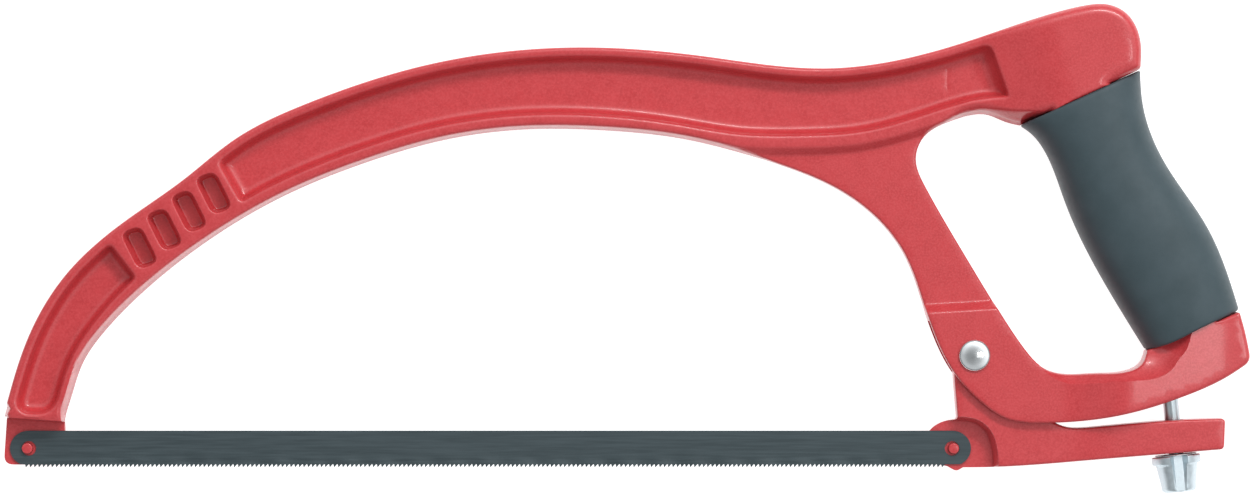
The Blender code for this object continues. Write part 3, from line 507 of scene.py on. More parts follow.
def sheet(outer, holes, loops, lines, spacing=FILL):
    """Triangles that fill the outline, less its holes, with every ring and line in them."""
    taken = np.vstack([np.vstack(loops)] + [np.array(line) for line in lines])
    points, faces = triangulate(loops, lines, fill_points(outer, taken, spacing))
    centre = points[faces].mean(axis=1)
    keep = inside(centre, outer)
    for hole in holes:
        keep &= ~inside(centre, hole)
    faces = faces[keep]
    used = np.unique(faces)
    fresh = np.full(len(points), -1)
    fresh[used] = np.arange(len(used))
    points = points[used]
    faces = fresh[faces]
    a, b, c = points[faces[:, 0]], points[faces[:, 1]], points[faces[:, 2]]
    turn = (b[:, 0] - a[:, 0]) * (c[:, 1] - a[:, 1]) - (b[:, 1] - a[:, 1]) * (c[:, 0] - a[:, 0])
    faces[turn < 0.0] = faces[turn < 0.0][:, ::-1]
    return points, faces


def casting(name, outer, holes, radius_at, draft_at, top_at, bottom_at, marks, lines):
    """Close a two-sided casting between its outline and two height functions."""
    rings = edge_rings(outer, False, radius_at, draft_at)
    for hole in holes:
        rings += edge_rings(hole, True, radius_at, draft_at)
    points, faces = sheet(outer, holes, rings + marks, lines)
    rim = np.minimum.reduce([reach_to(points, loop, True) for loop in [outer] + holes]) < ON_RIM
    top = top_at(points)
    bottom = -bottom_at(points)
    top[rim] = 0.0
    lower = np.full(len(points), -1)
    lower[rim] = np.nonzero(rim)[0]
    lower[~rim] = len(points) + np.arange(int(np.sum(~rim)))
    verts = np.vstack([np.column_stack([points, top]),
                       np.column_stack([points[~rim], bottom[~rim]])])
    polys = [tuple(int(i) for i in f) for f in faces]
    polys += [tuple(int(lower[i]) for i in f[::-1]) for f in faces]
    return new_object(name, verts, polys)


# ==== objects ====
def new_object(name, verts, polys):
    """Make a mesh object from design coordinates, faces outward."""
    world = (np.asarray(verts, float) + ORIGIN) * MM
    mesh = bpy.data.meshes.new(name)
    mesh.from_pydata([tuple(q) for q in world], [], polys)
    mesh.validate()
    mesh.update()
    obj = bpy.data.objects.new(name, mesh)
    bpy.context.collection.objects.link(obj)
    return obj


def shade(obj, degrees=40.0):
    """Smooth shading, with sharp edges where the faces meet at more than the angle."""
    for face in obj.data.polygons:
        face.use_smooth = True
    obj.data.set_sharp_from_angle(angle=math.radians(degrees))
    return obj


def prism(name, loop, low, high):
    """Straight prism over a loop."""
    n = len(loop)
    if area(loop) < 0.0:
        loop = loop[::-1]
    verts = [(q[0], q[1], low) for q in loop] + [(q[0], q[1], high) for q in loop]
    polys = [tuple(range(n))[::-1], tuple(range(n, 2 * n))]
    polys += [(i, (i + 1) % n, n + (i + 1) % n, n + i) for i in range(n)]
    return new_object(name, verts, polys)


def circle(centre, radius, count):
    """Loop of evenly spaced points."""
    turn = np.arange(count) * 2.0 * math.pi / count
    return np.stack([centre[0] + radius * np.cos(turn), centre[1] + radius * np.sin(turn)], axis=1)


def turned(name, profile, origin, axis, count, radius_at=None, ring=False, sharp=40.0):
    """Revolve (distance, radius) pairs about an axis; a ring joins its last row to its first.

    radius_at gives the radius to use from the distance, the row's radius and the turn.
    """
    axis = np.array(axis, float)
    axis /= np.linalg.norm(axis)
    side = np.array([0.0, 0.0, 1.0]) if abs(axis[2]) < 0.9 else np.array([1.0, 0.0, 0.0])
    first = np.cross(side, axis)
    first /= np.linalg.norm(first)
    second = np.cross(axis, first)
    origin = np.array(origin, float)
    verts = []
    rows = []
    for distance, radius in profile:
        if radius < 1e-9:
            rows.append([len(verts)])
            verts.append(origin + axis * distance)
            continue
        rows.append(list(range(len(verts), len(verts) + count)))
        for k in range(count):
            turn = 2.0 * math.pi * k / count
            reach = radius if radius_at is None else radius_at(distance, radius, turn)
            verts.append(origin + axis * distance
                         + (first * math.cos(turn) + second * math.sin(turn)) * reach)
    polys = []
    pairs = list(zip(rows[:-1], rows[1:]))
    if ring:
        pairs.append((rows[-1], rows[0]))
    for low, high in pairs:
        for k in range(count):
            m = (k + 1) % count
            if len(low) == 1:
                polys.append((low[0], high[m], high[k]))
            elif len(high) == 1:
                polys.append((low[k], low[m], high[0]))
            else:
                polys.append((low[k], low[m], high[m], high[k]))
    return shade(new_object(name, verts, polys), sharp)


def carve(obj, cutters):
    """Subtract the cutters with the exact solver, and keep only the result."""
    for cutter in cutters:
        mod = obj.modifiers.new("cut", "BOOLEAN")
        mod.operation = "DIFFERENCE"
        mod.solver = "EXACT"
        mod.object = cutter
    depsgraph = bpy.context.evaluated_depsgraph_get()
    result = bpy.data.meshes.new_from_object(obj.evaluated_get(depsgraph))
    obj.modifiers.clear()
    old = obj.data
    obj.data = result
    result.name = obj.name
    bpy.data.meshes.remove(old)
    for cutter in cutters:
        bpy.data.objects.remove(cutter, do_unlink=True)


def place(obj, node, body, mat):
    """Stand the piece in for a CAD node and dress it."""
    obj.data.materials.clear()
    obj.data.materials.append(mat)
    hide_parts(node)
    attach(obj, body)


# ==== outlines of the frame ====
# back of the bow, from the front post to the head
BOW_BACK = spline([
    (-7.95, 10.4), (-4.5, 23.0), (-0.9, 33.7), (12.2, 56.4), (31.6, 74.0), (51.0, 87.8),
    (67.0, 100.4), (90.0, 111.9), (128.9, 124.5), (180.7, 130.3), (219.6, 127.4), (258.5, 123.5),
    (303.9, 132.0), (329.7, 140.6), (342.4, 143.8), (349.0, 144.3), (355.6, 141.7),
    (360.1, 134.8), (361.0, 128.5), (360.7, 123.0)])
# underside of the bow, from the strut to the front post
BOW_BELLY = spline([
    (239.3, 93.7), (213.3, 100.4), (187.2, 103.3), (161.1, 103.6), (135.0, 100.2), (109.1, 92.7),
    (83.1, 82.1), (57.1, 66.7), (37.3, 51.0), (24.5, 37.9), (17.2, 27.0), (13.6, 16.1),
    (11.8, 9.6), (11.6, 5.0)])
# lower edge of the bow's rim; it runs on across the top of the strut
BOW_LOWER = spline([
    (330.0, 108.6), (312.0, 109.9), (300.0, 107.2), (285.0, 102.4), (270.0, 98.9), (250.0, 97.7),
    (232.0, 98.0), (213.3, 100.4), (187.2, 103.3), (161.1, 103.6), (135.0, 100.2), (109.1, 92.7),
    (83.1, 82.1), (57.1, 66.7), (37.3, 51.0), (24.5, 37.9), (17.2, 27.0), (13.6, 16.1),
    (11.8, 9.6)])
# front and back edges of the grip, from the head to the foot
GRIP_FRONT = spline([
    (322.0, 104.9), (326.0, 102.0), (330.0, 96.8), (336.7, 80.2), (349.7, 53.5), (362.8, 32.0)])
GRIP_BACK = spline([(361.1, 123.0), (361.8, 112.8), (369.4, 92.3), (382.6, 72.4), (393.2, 45.0)])
# edge of the foot that meets the lower end of the grip, front to back
FOOT_SEAM = spline([(362.8, 32.0), (369.8, 34.1), (377.6, 38.0), (393.2, 45.0)])
# crease from the fork over the saddle to the grip
SADDLE = spline([
    (322.0, 34.5), (326.5, 28.5), (331.9, 23.4), (336.7, 21.4), (343.2, 21.1), (351.4, 21.8),
    (359.5, 22.2), (364.4, 22.8), (368.4, 24.2), (370.9, 26.2), (372.5, 28.7), (374.5, 31.1),
    (375.7, 33.2), (377.0, 38.0)])
HEAD_SEAM = straight(GRIP_FRONT[0], GRIP_BACK[0])


def grip_point(share, across):
    """Point on the grip: share runs from the head to the foot, across from front to back."""
    front = along(GRIP_FRONT, share)
    back = along(GRIP_BACK, share)
    return front + (back - front) * across


def core_edge(across):
    """One edge of the bar inside the grip, from the head to the foot."""
    return np.array([grip_point(s, across) for s in np.linspace(0.0, 1.0, 49)])


def frame_outer():
    """Outer loop of the casting, starting at the tongue at the front."""
    core = core_edge(CORE_BACK)
    head_in = straight(BOW_BACK[-1], core[0])
    foot_in = straight(core[-1], (392.7, 44.6))
    foot_back = spline([(392.7, 44.6), (394.6, 37.7), (396.4, 28.4)])
    foot_under = spline([
        (396.4, 28.4), (388.2, 23.0), (375.0, 17.1), (362.0, 12.8), (349.0, 9.9), (336.0, 8.5),
        (325.0, 8.3)])
    fork_under = spline([
        (325.0, 8.3), (318.2, 9.4), (308.2, 15.8), (300.1, 24.7), (293.9, 36.9), (290.8, 45.7),
        (284.5, 62.7), (265.3, 82.6), (239.3, 93.7)])
    tongue_back = straight((11.6, 5.0), (10.0, -5.3))
    tongue_under = straight((10.0, -5.3), (-8.2, -5.3))
    tongue_front = straight((-8.2, -5.3), (-7.2, 10.2))
    ledge = straight((-7.2, 10.2), (-7.95, 10.4))
    return closed([(BOW_BACK, 1.0), (head_in, 0.0), (core, 0.0),
                   (foot_in, 0.9), (foot_back, 2.6), (foot_under, 0.0), (fork_under, 0.0),
                   (BOW_BELLY, 0.0), (tongue_back, 2.5), (tongue_under, 3.2),
                   (tongue_front, 0.0), (ledge, 0.0)])


def hand_hole():
    """Loop of the opening for the hand."""
    core = core_edge(CORE_FRONT)
    strut = spline([
        (304.0, 107.8), (297.8, 105.6), (291.0, 101.3), (288.2, 94.0), (291.2, 85.2),
        (304.3, 62.5), (317.2, 41.4), (323.6, 32.1), (330.0, 26.0), (336.7, 24.3), (346.0, 24.6),
        (356.2, 25.2), (361.2, 27.8), (362.8, 32.0)])
    foot_in = straight(strut[-1], core[-1])
    head_in = straight(core[0], GRIP_FRONT[0])
    head_front = spline([(322.0, 104.9), (317.5, 106.0), (310.7, 108.5), (304.0, 107.8)])
    return closed([(strut, 0.0), (foot_in, 0.0), (core[::-1], 0.0), (head_in, 0.0),
                   (head_front, 0.0)])


def recess_lower():
    """Lower edge of the recesses: the rim's lower edge moved in by the rim's own width."""
    width = POST_RIM + (FRONT_RIM - POST_RIM) * ramp(BOW_LOWER[:, 0], *POST_CHANGE)
    width = width + (REAR_RIM - FRONT_RIM) * ramp(BOW_LOWER[:, 0], *RIM_CHANGE)
    return offset(BOW_LOWER, -width[:, None])


def front_recess():
    back = between(offset(BOW_BACK, -TOP_RIM), 1, 16.0, 68.0)
    belly = between(recess_lower(), 1, 16.0, 55.3)
    end = straight(back[-1], belly[0])
    heel = straight(belly[-1], (8.4, 10.2))
    toe = straight((8.4, 10.2), (-4.4, 10.5))
    rise = straight((-4.4, 10.5), back[0])
    return closed([(back, 3.2), (end, 3.2), (belly, 0.0), (heel, 5.0), (toe, 5.4), (rise, 0.0)])


def rear_recess():
    back = between(offset(BOW_BACK, -TOP_RIM), 0, 60.6, 313.0)
    lower = between(recess_lower(), 0, 68.9, 319.8)
    right = straight(back[-1], lower[0])
    left = straight(lower[-1], back[0])
    return closed([(back, 4.6), (right, 3.6), (lower, 3.0), (left, 3.4)])


def pockets():
    """Four small slanted recesses along the front of the bow."""
    wide = np.array([7.4, 2.9])
    long = np.array([6.4, -12.8])
    loops = []
    for i in range(4):
        centre = np.array([36.5, 65.2]) + i * np.array([8.0, 5.9])
        corner = [centre + 0.5 * (a * wide + b * long) for a, b in
                  ((-1, -1), (1, -1), (1, 1), (-1, 1))]
        sides = [(straight(corner[k], corner[(k + 1) % 4]), 3.6) for k in range(4)]
        loops.append(closed(sides, 6))
    return loops


# ==== heights of the frame ====
FRAME_OUTER = frame_outer()
HAND_HOLE = hand_hole()
RECESSES = [(loop, WEB_HALF, RECESS_LIP, RECESS_TOE) for loop in (front_recess(), rear_recess())]
RECESSES += [(loop, POCKET_WEB, POCKET_LIP, POCKET_TOE) for loop in pockets()]


def head_side(p):
    """Distance past the head's seam, positive on the head."""
    u, v = p.T
    run = (HEAD_SEAM[-1] - HEAD_SEAM[0]) / np.linalg.norm(HEAD_SEAM[-1] - HEAD_SEAM[0])
    return (v - HEAD_SEAM[0][1]) * run[0] - (u - HEAD_SEAM[0][0]) * run[1]


def foot_side(p):
    """Distance past the foot's seam, positive on the foot."""
    u, v = p.T
    gap = reach_to(p, FOOT_SEAM, False)
    below = v < np.interp(u, FOOT_SEAM[:, 0], FOOT_SEAM[:, 1]) + 0.005
    return np.where(below, gap, -gap)


def behind_head(p):
    """True to the right of the hand hole's upper front corner."""
    u, v = p.T
    return u > 320.4 + (105.0 - v) * 0.55


def head_share(p):
    return ramp(p @ HEAD_RUN, *HEAD_RAMP)


def frame_half(p):
    """Half thickness of the face of the casting."""
    u, v = p.T
    half = BOW_HALF + (HEAD_HALF - BOW_HALF) * head_share(p)
    line = BOW_LOWER[::-1]
    under = np.interp(u, line[:, 0], line[:, 1]) - v
    strut = (u > STRUT_SPAN[0]) & (u < STRUT_SPAN[1])
    sink = slope_between(under, STRUT_WALL, STRUT_BEND, STRUT_BEND)
    half = np.where(strut, half + (STRUT_HALF - half) * sink, half)
    band = BAND_TOP + BAND_SLOPE * (u - 300.0) - v
    fork = STRUT_HALF + (FORK_HALF - STRUT_HALF) * slope_between(band, BAND_FALL, BAND_BEND, BAND_BEND)
    fork = fork + (HEAD_HALF - FORK_HALF) * ramp(u, *FOOT_RAMP)
    fall = bend(u - FOOT_FALL[0], 2.5) - bend(u - FOOT_FALL[1], 1.5)
    fork = fork - FOOT_DROP * fall / (FOOT_FALL[1] - FOOT_FALL[0])
    return np.where((u > FORK_SIDE) & (band > -0.5), fork, half)


def outer_round(p):
    """Edge radius along the outside of the casting."""
    u, v = p.T
    reach = BOW_ROUND + (HEAD_ROUND - BOW_ROUND) * head_share(p)
    strut = (u > STRUT_LEFT) & (v < STRUT_TOP)
    reach = np.where(strut, STRUT_ROUND, reach)
    foot = (u > FOOT_SIDE) & (v < FOOT_TOP)
    return np.where(foot, STRUT_ROUND + 0.5 * ramp(u, 340.0, 370.0), reach)


def hole_round(p):
    """Edge radius round the hand hole: tight on the strut and foot, wider at the head."""
    u, v = p.T
    head = STRUT_ROUND + (HOLE_HEAD_ROUND - STRUT_ROUND) * ramp(u, *HOLE_RAMP)
    return np.where(v < HOLE_TOP, STRUT_ROUND, head)


def scoop(p):
    """Drop of the face above the crease that runs along the saddle."""
    u, v = p.T
    above = v > np.interp(u, SADDLE[:, 0], SADDLE[:, 1])
    near = above & (u > SADDLE[0, 0]) & (u < SADDLE[-1, 0]) & (v < FOOT_TOP)
    drop = np.zeros(len(p))
    away = np.minimum(reach_to(p[near], SADDLE, False) / SCOOP_REACH, 1.0)
    drop[near] = SCOOP_DEPTH * (1.0 - (1.0 - away) ** 2)
    return drop


def end_depth(p):
    """Distance to the left of the lip at the recess's end by the head."""
    u, v = p.T
    return (u - END_AT[0]) * END_RUN[1] - (v - END_AT[1]) * END_RUN[0]


def recess_height(p, half):
    """Height left by the recesses; outside them it is the face itself."""
    u, v = p.T
    height = half.copy()
    for loop, web, lip, toe in RECESSES:
        low, high = loop.min(axis=0), loop.max(axis=0)
        near = np.all((p > low) & (p < high), axis=1)
        q = p[near]
        sink = recess_depth(depth_in(q, loop), BOW_HALF - web, lip, toe) / (BOW_HALF - web)
        end = np.clip((end_depth(q) + END_START) / END_COVE, 0.0, 1.0)
        sink *= np.where(q[:, 0] > SCRIBE_AT, 1.0 - (1.0 - end) ** 2, 1.0)
        height[near] -= (half[near] - web) * sink
    scribe = SCRIBE_DEPTH * np.clip(1.0 - np.abs(u - SCRIBE_AT) / SCRIBE_HALF, 0.0, 1.0)
    return height - scribe * (np.abs(v - 120.0) < 3.2)


def belly_draft(p):
    """Width of the leaning wall: wide under the bow and over the hand, narrow elsewhere."""
    u, v = p.T
    low = np.interp(u, BOW_LOWER[::-1, 0], BOW_LOWER[::-1, 1]) + 5.0
    under_bow = ramp(v, 6.0, 14.0) * (1.0 - ramp(u, 222.0, 245.0))
    under_bow = np.where(v < low, under_bow, 0.0)
    over_hand = ramp(v, 99.0, 106.0) * ramp(u, 296.0, 302.0)
    over_hand = over_hand * (1.0 - ramp(u, 322.0, 330.0)) * (v < 112.0)
    wide = POST_DRAFT + (BELLY_DRAFT - POST_DRAFT) * ramp(u, 16.0, 70.0)
    return DRAFT + (wide - DRAFT) * np.maximum(under_bow, over_hand)


def seam_edges(p, height):
    """Round the edges at both ends of the grip, and drop to the bar between them."""
    u, v = p.T
    head = head_side(p)
    foot = foot_side(p)
    bar = behind_head(p) & (head < 0.0) & (foot < 0.0)
    high = v > GRIP_MIDDLE
    head_edge = edge_profile(head + DRAFT, HEAD_HALF, HEAD_SEAM_ROUND)
    foot_edge = edge_profile(foot + DRAFT, HEAD_HALF, FOOT_SEAM_ROUND)
    near_head = high & (u > HEAD_SEAM_LEFT) & (head >= 0.0)
    near_foot = ~high & (u > FOOT_SEAM_LEFT) & (foot >= 0.0)
    height = np.where(near_head, np.minimum(height, head_edge), height)
    height = np.where(near_foot, np.minimum(height, foot_edge), height)
    return np.where(bar, np.minimum(height, CORE_HALF), height)


def frame_bottom(p):
    """Height of the casting at each point."""
    half = frame_half(p) - scoop(p)
    draft = belly_draft(p)
    outside = edge_profile(reach_to(p, FRAME_OUTER, True), half, outer_round(p), draft)
    by_hand = edge_profile(reach_to(p, HAND_HOLE, True), half, hole_round(p), draft)
    height = np.minimum(outside, by_hand)
    height = np.minimum(height, recess_height(p, half))
    return seam_edges(p, height)


def frame_top(p):
    """As below, with the step down to the tongue at the front post."""
    u, v = p.T
    height = frame_bottom(p)
    step = v - (TONGUE_STEP + TONGUE_SLOPE * (u + 7.0))
    rise = slope_between(step + TONGUE_FACE, TONGUE_FACE, 0.15, 0.15)
    return np.where(u < POST_SIDE, height * rise, height)


def frame_radius(p):
    """Edge radius used to space the rings: the hole's own near it, the outside's elsewhere."""
    near_hole = reach_to(p, HAND_HOLE, True) < 0.01
    return np.where(near_hole, hole_round(p), outer_round(p))


def frame_lines():
    """Creases and guide lines on the face of the casting."""
    lines = []
    rim = between(BOW_LOWER, 0, 214.0, 330.0)
    for k in range(-2, 3):
        for drop in (0.5 * k * STRUT_BEND, STRUT_WALL + 0.5 * k * STRUT_BEND):
            lines.append(rim - np.array([0.0, drop]))
        for drop in (0.5 * k * BAND_BEND, BAND_FALL + 0.5 * k * BAND_BEND):
            level = BAND_TOP - drop
            lines.append(straight((282.0, level - 18.0 * BAND_SLOPE),
                                  (322.0, level + 22.0 * BAND_SLOPE)))
    for drop in (0.0, 0.1, 0.3, 0.5, 0.65, 0.8):
        start = TONGUE_STEP - drop - 5.0 * TONGUE_SLOPE
        lines.append(straight((-12.0, start), (20.0, start + 32.0 * TONGUE_SLOPE)))
    for gap in (-0.02, 0.02, 0.15, 0.35, 0.6, 0.9, 1.2):
        lines.append(HEAD_SEAM + HEAD_WAY * gap)
    for gap in (-0.02, 0.02, 0.15, 0.35, 0.7):
        lines.append(FOOT_SEAM + FOOT_WAY * gap)
    for gap in (0.0, 0.15, 0.6, 1.2, 2.0, 3.0, 4.2, 5.6, 7.2, 9.0):
        lines.append(offset(SADDLE, gap))
    end_left = np.array([END_RUN[1], -END_RUN[0]])
    for gap in (0.8, 1.6, 2.4, 3.2, 4.2, 5.2, 6.2):
        start = END_AT + end_left * gap + END_RUN * 1.5
        lines.append(straight(start, start + END_RUN * 10.0))
    for gap in (-SCRIBE_HALF, 0.0, SCRIBE_HALF):
        lines.append(straight((SCRIBE_AT + gap, 116.8), (SCRIBE_AT + gap, 123.2)))
    return lines


def slot_loop():
    """Room in the fork for the lever's eye and its upper edge."""
    roof = spline([
        (286.0, 41.5), (303.0, 41.0), (311.0, 39.3), (316.2, 34.0), (318.4, 26.0), (324.0, 18.0),
        (331.0, 12.6), (341.0, 9.0)])
    return closed([(roof, 0.0), (straight(roof[-1], (341.0, -2.0)), 0.0),
                   (straight((341.0, -2.0), (286.0, -2.0)), 0.0),
                   (straight((286.0, -2.0), roof[0]), 0.0)])


def on_screw(distance):
    """Point on the stud axis, measured away from the frame."""
    return SCREW_DATUM + SCREW_DOWN * distance


def build_frame():
    marks = []
    for loop, web, lip, toe in RECESSES:
        marks += wall_rings(loop, BOW_HALF - web, lip, toe)
    slot = prism("slot", slot_loop(), -SLOT_HALF, SLOT_HALF)
    obj = casting("frame_body", FRAME_OUTER, [HAND_HOLE], frame_radius, belly_draft, frame_top,
                  frame_bottom, marks, frame_lines())
    bore = [(STUD_START, 0.0), (STUD_START, STUD_BORE), (3.0, STUD_BORE), (3.0, 0.0)]
    carve(obj, [slot,
                prism("rivet", circle(PIVOT, EYE_BORE, 48), -THROUGH, THROUGH),
                prism("pin", circle((-PIN_SHIFT, 0.0), PIN_BORE, 32), -6.2, 1.0),
                turned("stud", bore, on_screw(0.0), SCREW_DOWN, 48)])
    return shade(obj)


# ==== the tension lever ====
def lever_outer():
    left = spline([(300.0, 32.6), (300.1, 27.0), (300.7, 18.0), (301.4, 9.6)], 1.0)
    boss = spline([
        (301.4, 9.6), (296.6, 8.5), (292.2, 5.0), (291.2, 0.0), (293.4, -4.0), (298.4, -5.8)], 0.8)
    nub = spline([(298.4, -5.8), (300.0, -6.7), (301.6, -7.2), (302.9, -6.6), (303.6, -6.2)], 0.4)
    under = spline([(303.6, -6.2), (312.0, -6.1), (343.0, -4.0), (388.1, -0.3)])
    end = straight((388.1, -0.3), (388.5, 9.9), 1.0)
    upper = spline([
        (388.5, 9.9), (375.0, 9.5), (356.0, 8.1), (344.0, 7.0), (336.5, 7.2), (328.0, 12.2),
        (321.0, 18.0), (315.6, 25.4), (313.6, 32.6)])
    turn = np.linspace(math.radians(18.0), math.radians(162.0), 25)
    eye = PIVOT + EYE_RADIUS * np.stack([np.cos(turn), np.sin(turn)], axis=1)
    return closed([(left, 0.8), (boss, 0.0), (nub, 0.0), (under, 1.6), (end, 1.6), (upper, 0.0),
                   (eye, 0.0)])


# edge of the recessed seat for the back end of the blade
SEAT_EDGE = spline([
    (290.0, 9.2), (301.6, 8.9), (307.5, 8.0), (310.8, 5.4), (312.6, 1.2), (313.4, -9.0)], 0.8)
LEVER_OUTER = lever_outer()
SEAT_WALL = 1.3             # width of the sloping wall round the seat
SWELL_AT = (337.0, 353.0)   # where the lever widens to its full end


def lever_half(p):
    u = p[:, 0]
    return LEVER_HALF + (LEVER_END_HALF - LEVER_HALF) * ramp(u, *SWELL_AT)


def lever_radius(p):
    return np.full(len(p), LEVER_ROUND)


def lever_draft(p):
    return np.full(len(p), DRAFT)


def lever_bottom(p):
    return edge_profile(reach_to(p, LEVER_OUTER, True), lever_half(p), lever_radius(p))


def lever_top(p):
    """The near side is cut away to the parting plane at the seat."""
    seat = np.vstack([SEAT_EDGE, [(270.0, -9.0), (270.0, 9.2)]])
    gap = reach_to(p, SEAT_EDGE, False)
    keep = np.where(inside(p, seat), 0.0, slope_between(gap, SEAT_WALL, 0.01, 0.3))
    return lever_bottom(p) * np.clip(keep, 0.0, 1.0)


def build_lever():
    lines = [offset(SEAT_EDGE, gap) for gap in (0.0, 0.3, 0.7, 1.0, 1.3, 1.6)]
    for level in np.linspace(*SWELL_AT, 5):
        lines.append(straight((level, -12.0), (level, 14.0)))
    obj = casting("lever_arm", LEVER_OUTER, [], lever_radius, lever_draft, lever_top,
                  lever_bottom, [], lines)
    side = np.array([-SCREW_DOWN[1], SCREW_DOWN[0], 0.0])
    hole = [(0.0, 0.0), (0.0, LEVER_BORE), (LEVER_BORE_END, LEVER_BORE), (LEVER_BORE_END, 0.0)]
    carve(obj, [prism("eye", circle(PIVOT, EYE_BORE, 48), -THROUGH, THROUGH),
                prism("pin", circle((BLADE_SPAN + PIN_SHIFT, 0.0), PIN_BORE, 32), -3.5, 1.0),
                turned("bore", hole, on_screw(0.0) + side * LEVER_BORE_SHIFT, SCREW_DOWN, 48)])
    return shade(obj)


# ==== blade ====
BLADE_TOP = 5.75
BLADE_ROOT = -5.2
BLADE_END_RADIUS = 6.15
BLADE_HOLE = 2.35
TOOTH_DEPTH = 1.0
TOOTH_PITCH = 25.4 / 18.0
TOOTH_START = -1.5
TOOTH_END = 298.5
SET_WIDTH = 0.22            # how far the wavy set swings to each side
SET_TEETH = 8.0             # teeth in one wave
SET_RISE = 2.2              # height of the bent strip above the tooth roots


def blade_loop():
    """Back, round ends and the row of teeth that point forward."""
    front = math.pi * np.linspace(0.5, 1.35, 25)
    loop = [(BLADE_END_RADIUS * math.cos(t), BLADE_TOP * math.sin(t)) for t in front]
    ends = len(loop)
    count = int((TOOTH_END - TOOTH_START) / TOOTH_PITCH)
    for i in range(count):
        x = TOOTH_START + i * TOOTH_PITCH
        loop.append((x, BLADE_ROOT))
        loop.append((x + 0.18 * TOOTH_PITCH, BLADE_ROOT))
        loop.append((x + 0.34 * TOOTH_PITCH, BLADE_ROOT - TOOTH_DEPTH))
        loop.append((x + 0.46 * TOOTH_PITCH, BLADE_ROOT - 0.84 * TOOTH_DEPTH))
    loop.append((TOOTH_START + count * TOOTH_PITCH, BLADE_ROOT))
    loop += [(BLADE_SPAN - x, y) for x, y in loop[ends - 1::-1]]
    return np.array(loop)


def set_wave(p):
    """Sideways swing of the toothed strip; it fades out over both ends."""
    u, v = p.T
    wave = np.sin(2.0 * math.pi * u / (SET_TEETH * TOOTH_PITCH))
    fade = ramp(u, 12.0, 24.0) * (1.0 - ramp(u, 276.0, 288.0))
    return SET_WIDTH * wave * fade * ramp(BLADE_ROOT + SET_RISE - v, 0.0, SET_RISE)


def build_blade():
    loop = blade_loop()
    holes = [circle((u, 0.0), BLADE_HOLE, 40) for u in (0.0, BLADE_SPAN)]
    lines = [straight((3.0, v), (BLADE_SPAN - 3.0, v), 1.5)
             for v in (BLADE_ROOT + 0.4, BLADE_ROOT + 1.2, BLADE_ROOT + SET_RISE, 0.0, 4.0)]
    points, faces = sheet(loop, holes, [loop] + holes, lines, 3.0)
    swing = set_wave(points)
    count = len(points)
    low = np.column_stack([points, np.full(count, BLADE_LOW) + swing])
    high = low + np.array([0.0, 0.0, BLADE_THICK])
    polys = [tuple(int(i) + count for i in f) for f in faces]
    polys += [tuple(int(i) for i in f[::-1]) for f in faces]
    sides = [(int(f[k]), int(f[(k + 1) % 3])) for f in faces for k in range(3)]
    known = set(sides)
    polys += [(a, b, b + count, a + count) for a, b in sides if (b, a) not in known]
    return shade(new_object("saw_blade", np.vstack([low, high]), polys), 25.0)


# ==== grip ====
def around(count):
    """Cosine and sine of evenly spaced turns."""
    turns = [2.0 * math.pi * k / count for k in range(count)]
    return [(math.cos(turn), math.sin(turn)) for turn in turns]


def grip_width(share):
    return np.linalg.norm(grip_point(share, 1.0) - grip_point(share, 0.0))


def grip_ring(share, back_off, count):
    """Outer ring of the sleeve at a share of the grip, pulled in by a rounded end."""
    swell = math.sin(math.pi * share) ** GRIP_SWELL
    half = GRIP_END_HALF + (GRIP_HALF - GRIP_END_HALF) * swell
    power = 2.0 / GRIP_SQUARENESS
    width = grip_width(share)
    ring = []
    for c, s in around(count):
        x = math.copysign(abs(c) ** power, c) * (1.0 - 2.0 * back_off / width)
        z = math.copysign(abs(s) ** power, s)
        q = grip_point(share, 0.5 + 0.5 * x) + end_gap(share, 0.5 + 0.5 * x)
        ring.append((q[0], q[1], (half - back_off) * z))
    return ring


def bore_ring(share, count):
    """Rectangular bore round the bar."""
    middle_share = 0.5 * (CORE_FRONT + CORE_BACK)
    reach = 0.5 * (CORE_BACK - CORE_FRONT) + CLEAR / grip_width(share)
    ring = []
    for c, s in around(count):
        scale = 1.0 / max(abs(c), abs(s))
        at = middle_share + reach * c * scale
        q = grip_point(share, at) + end_gap(share, at)
        ring.append((q[0], q[1], (CORE_HALF + CLEAR) * s * scale))
    return ring


def end_gap(share, across_share):
    """Keep each end of the sleeve just clear of the casting, following its seam."""
    head = np.array([0.41, -0.91]) * SEAM_CLEAR * max(0.0, 1.0 - share * 60.0)
    if share < 0.9:
        return head
    q = grip_point(1.0, across_share)
    sag = q[1] - np.interp(q[0], FOOT_SEAM[:, 0], FOOT_SEAM[:, 1])
    fade = ramp(share, 0.9, 1.0)
    return np.array([-0.39 * SEAM_CLEAR, 0.92 * SEAM_CLEAR - sag]) * fade


def build_grip():
    """Sleeve of rubber round the bar, lofted between the head and the foot."""
    count = 96
    lip = GRIP_LIP / GRIP_LENGTH
    turns = [0.5 * math.pi * k / 4.0 for k in range(4, -1, -1)]
    rows = [(lip * (1.0 - math.sin(turn)), GRIP_LIP * (1.0 - math.cos(turn))) for turn in turns]
    rows += [(share, 0.0) for share in np.linspace(lip, 1.0 - lip, 70)[1:-1]]
    rows += [(1.0 - share, back_off) for share, back_off in rows[4::-1]]
    verts = []
    for share, back_off in rows:
        verts += grip_ring(share, back_off, count) + bore_ring(share, count)
    polys = []
    for i in range(len(rows) - 1):
        for base in (0, count):
            for k in range(count):
                m = (k + 1) % count
                low = 2 * count * i + base
                quad = (low + k, low + m, low + 2 * count + m, low + 2 * count + k)
                polys.append(quad if base else quad[::-1])
    for i, flip in ((0, True), (len(rows) - 1, False)):
        low = 2 * count * i
        for k in range(count):
            m = (k + 1) % count
            quad = (low + m, low + k, low + count + k, low + count + m)
            polys.append(quad[::-1] if flip else quad)
    return shade(new_object("grip_rubber_sleeve", verts, polys), 50.0)


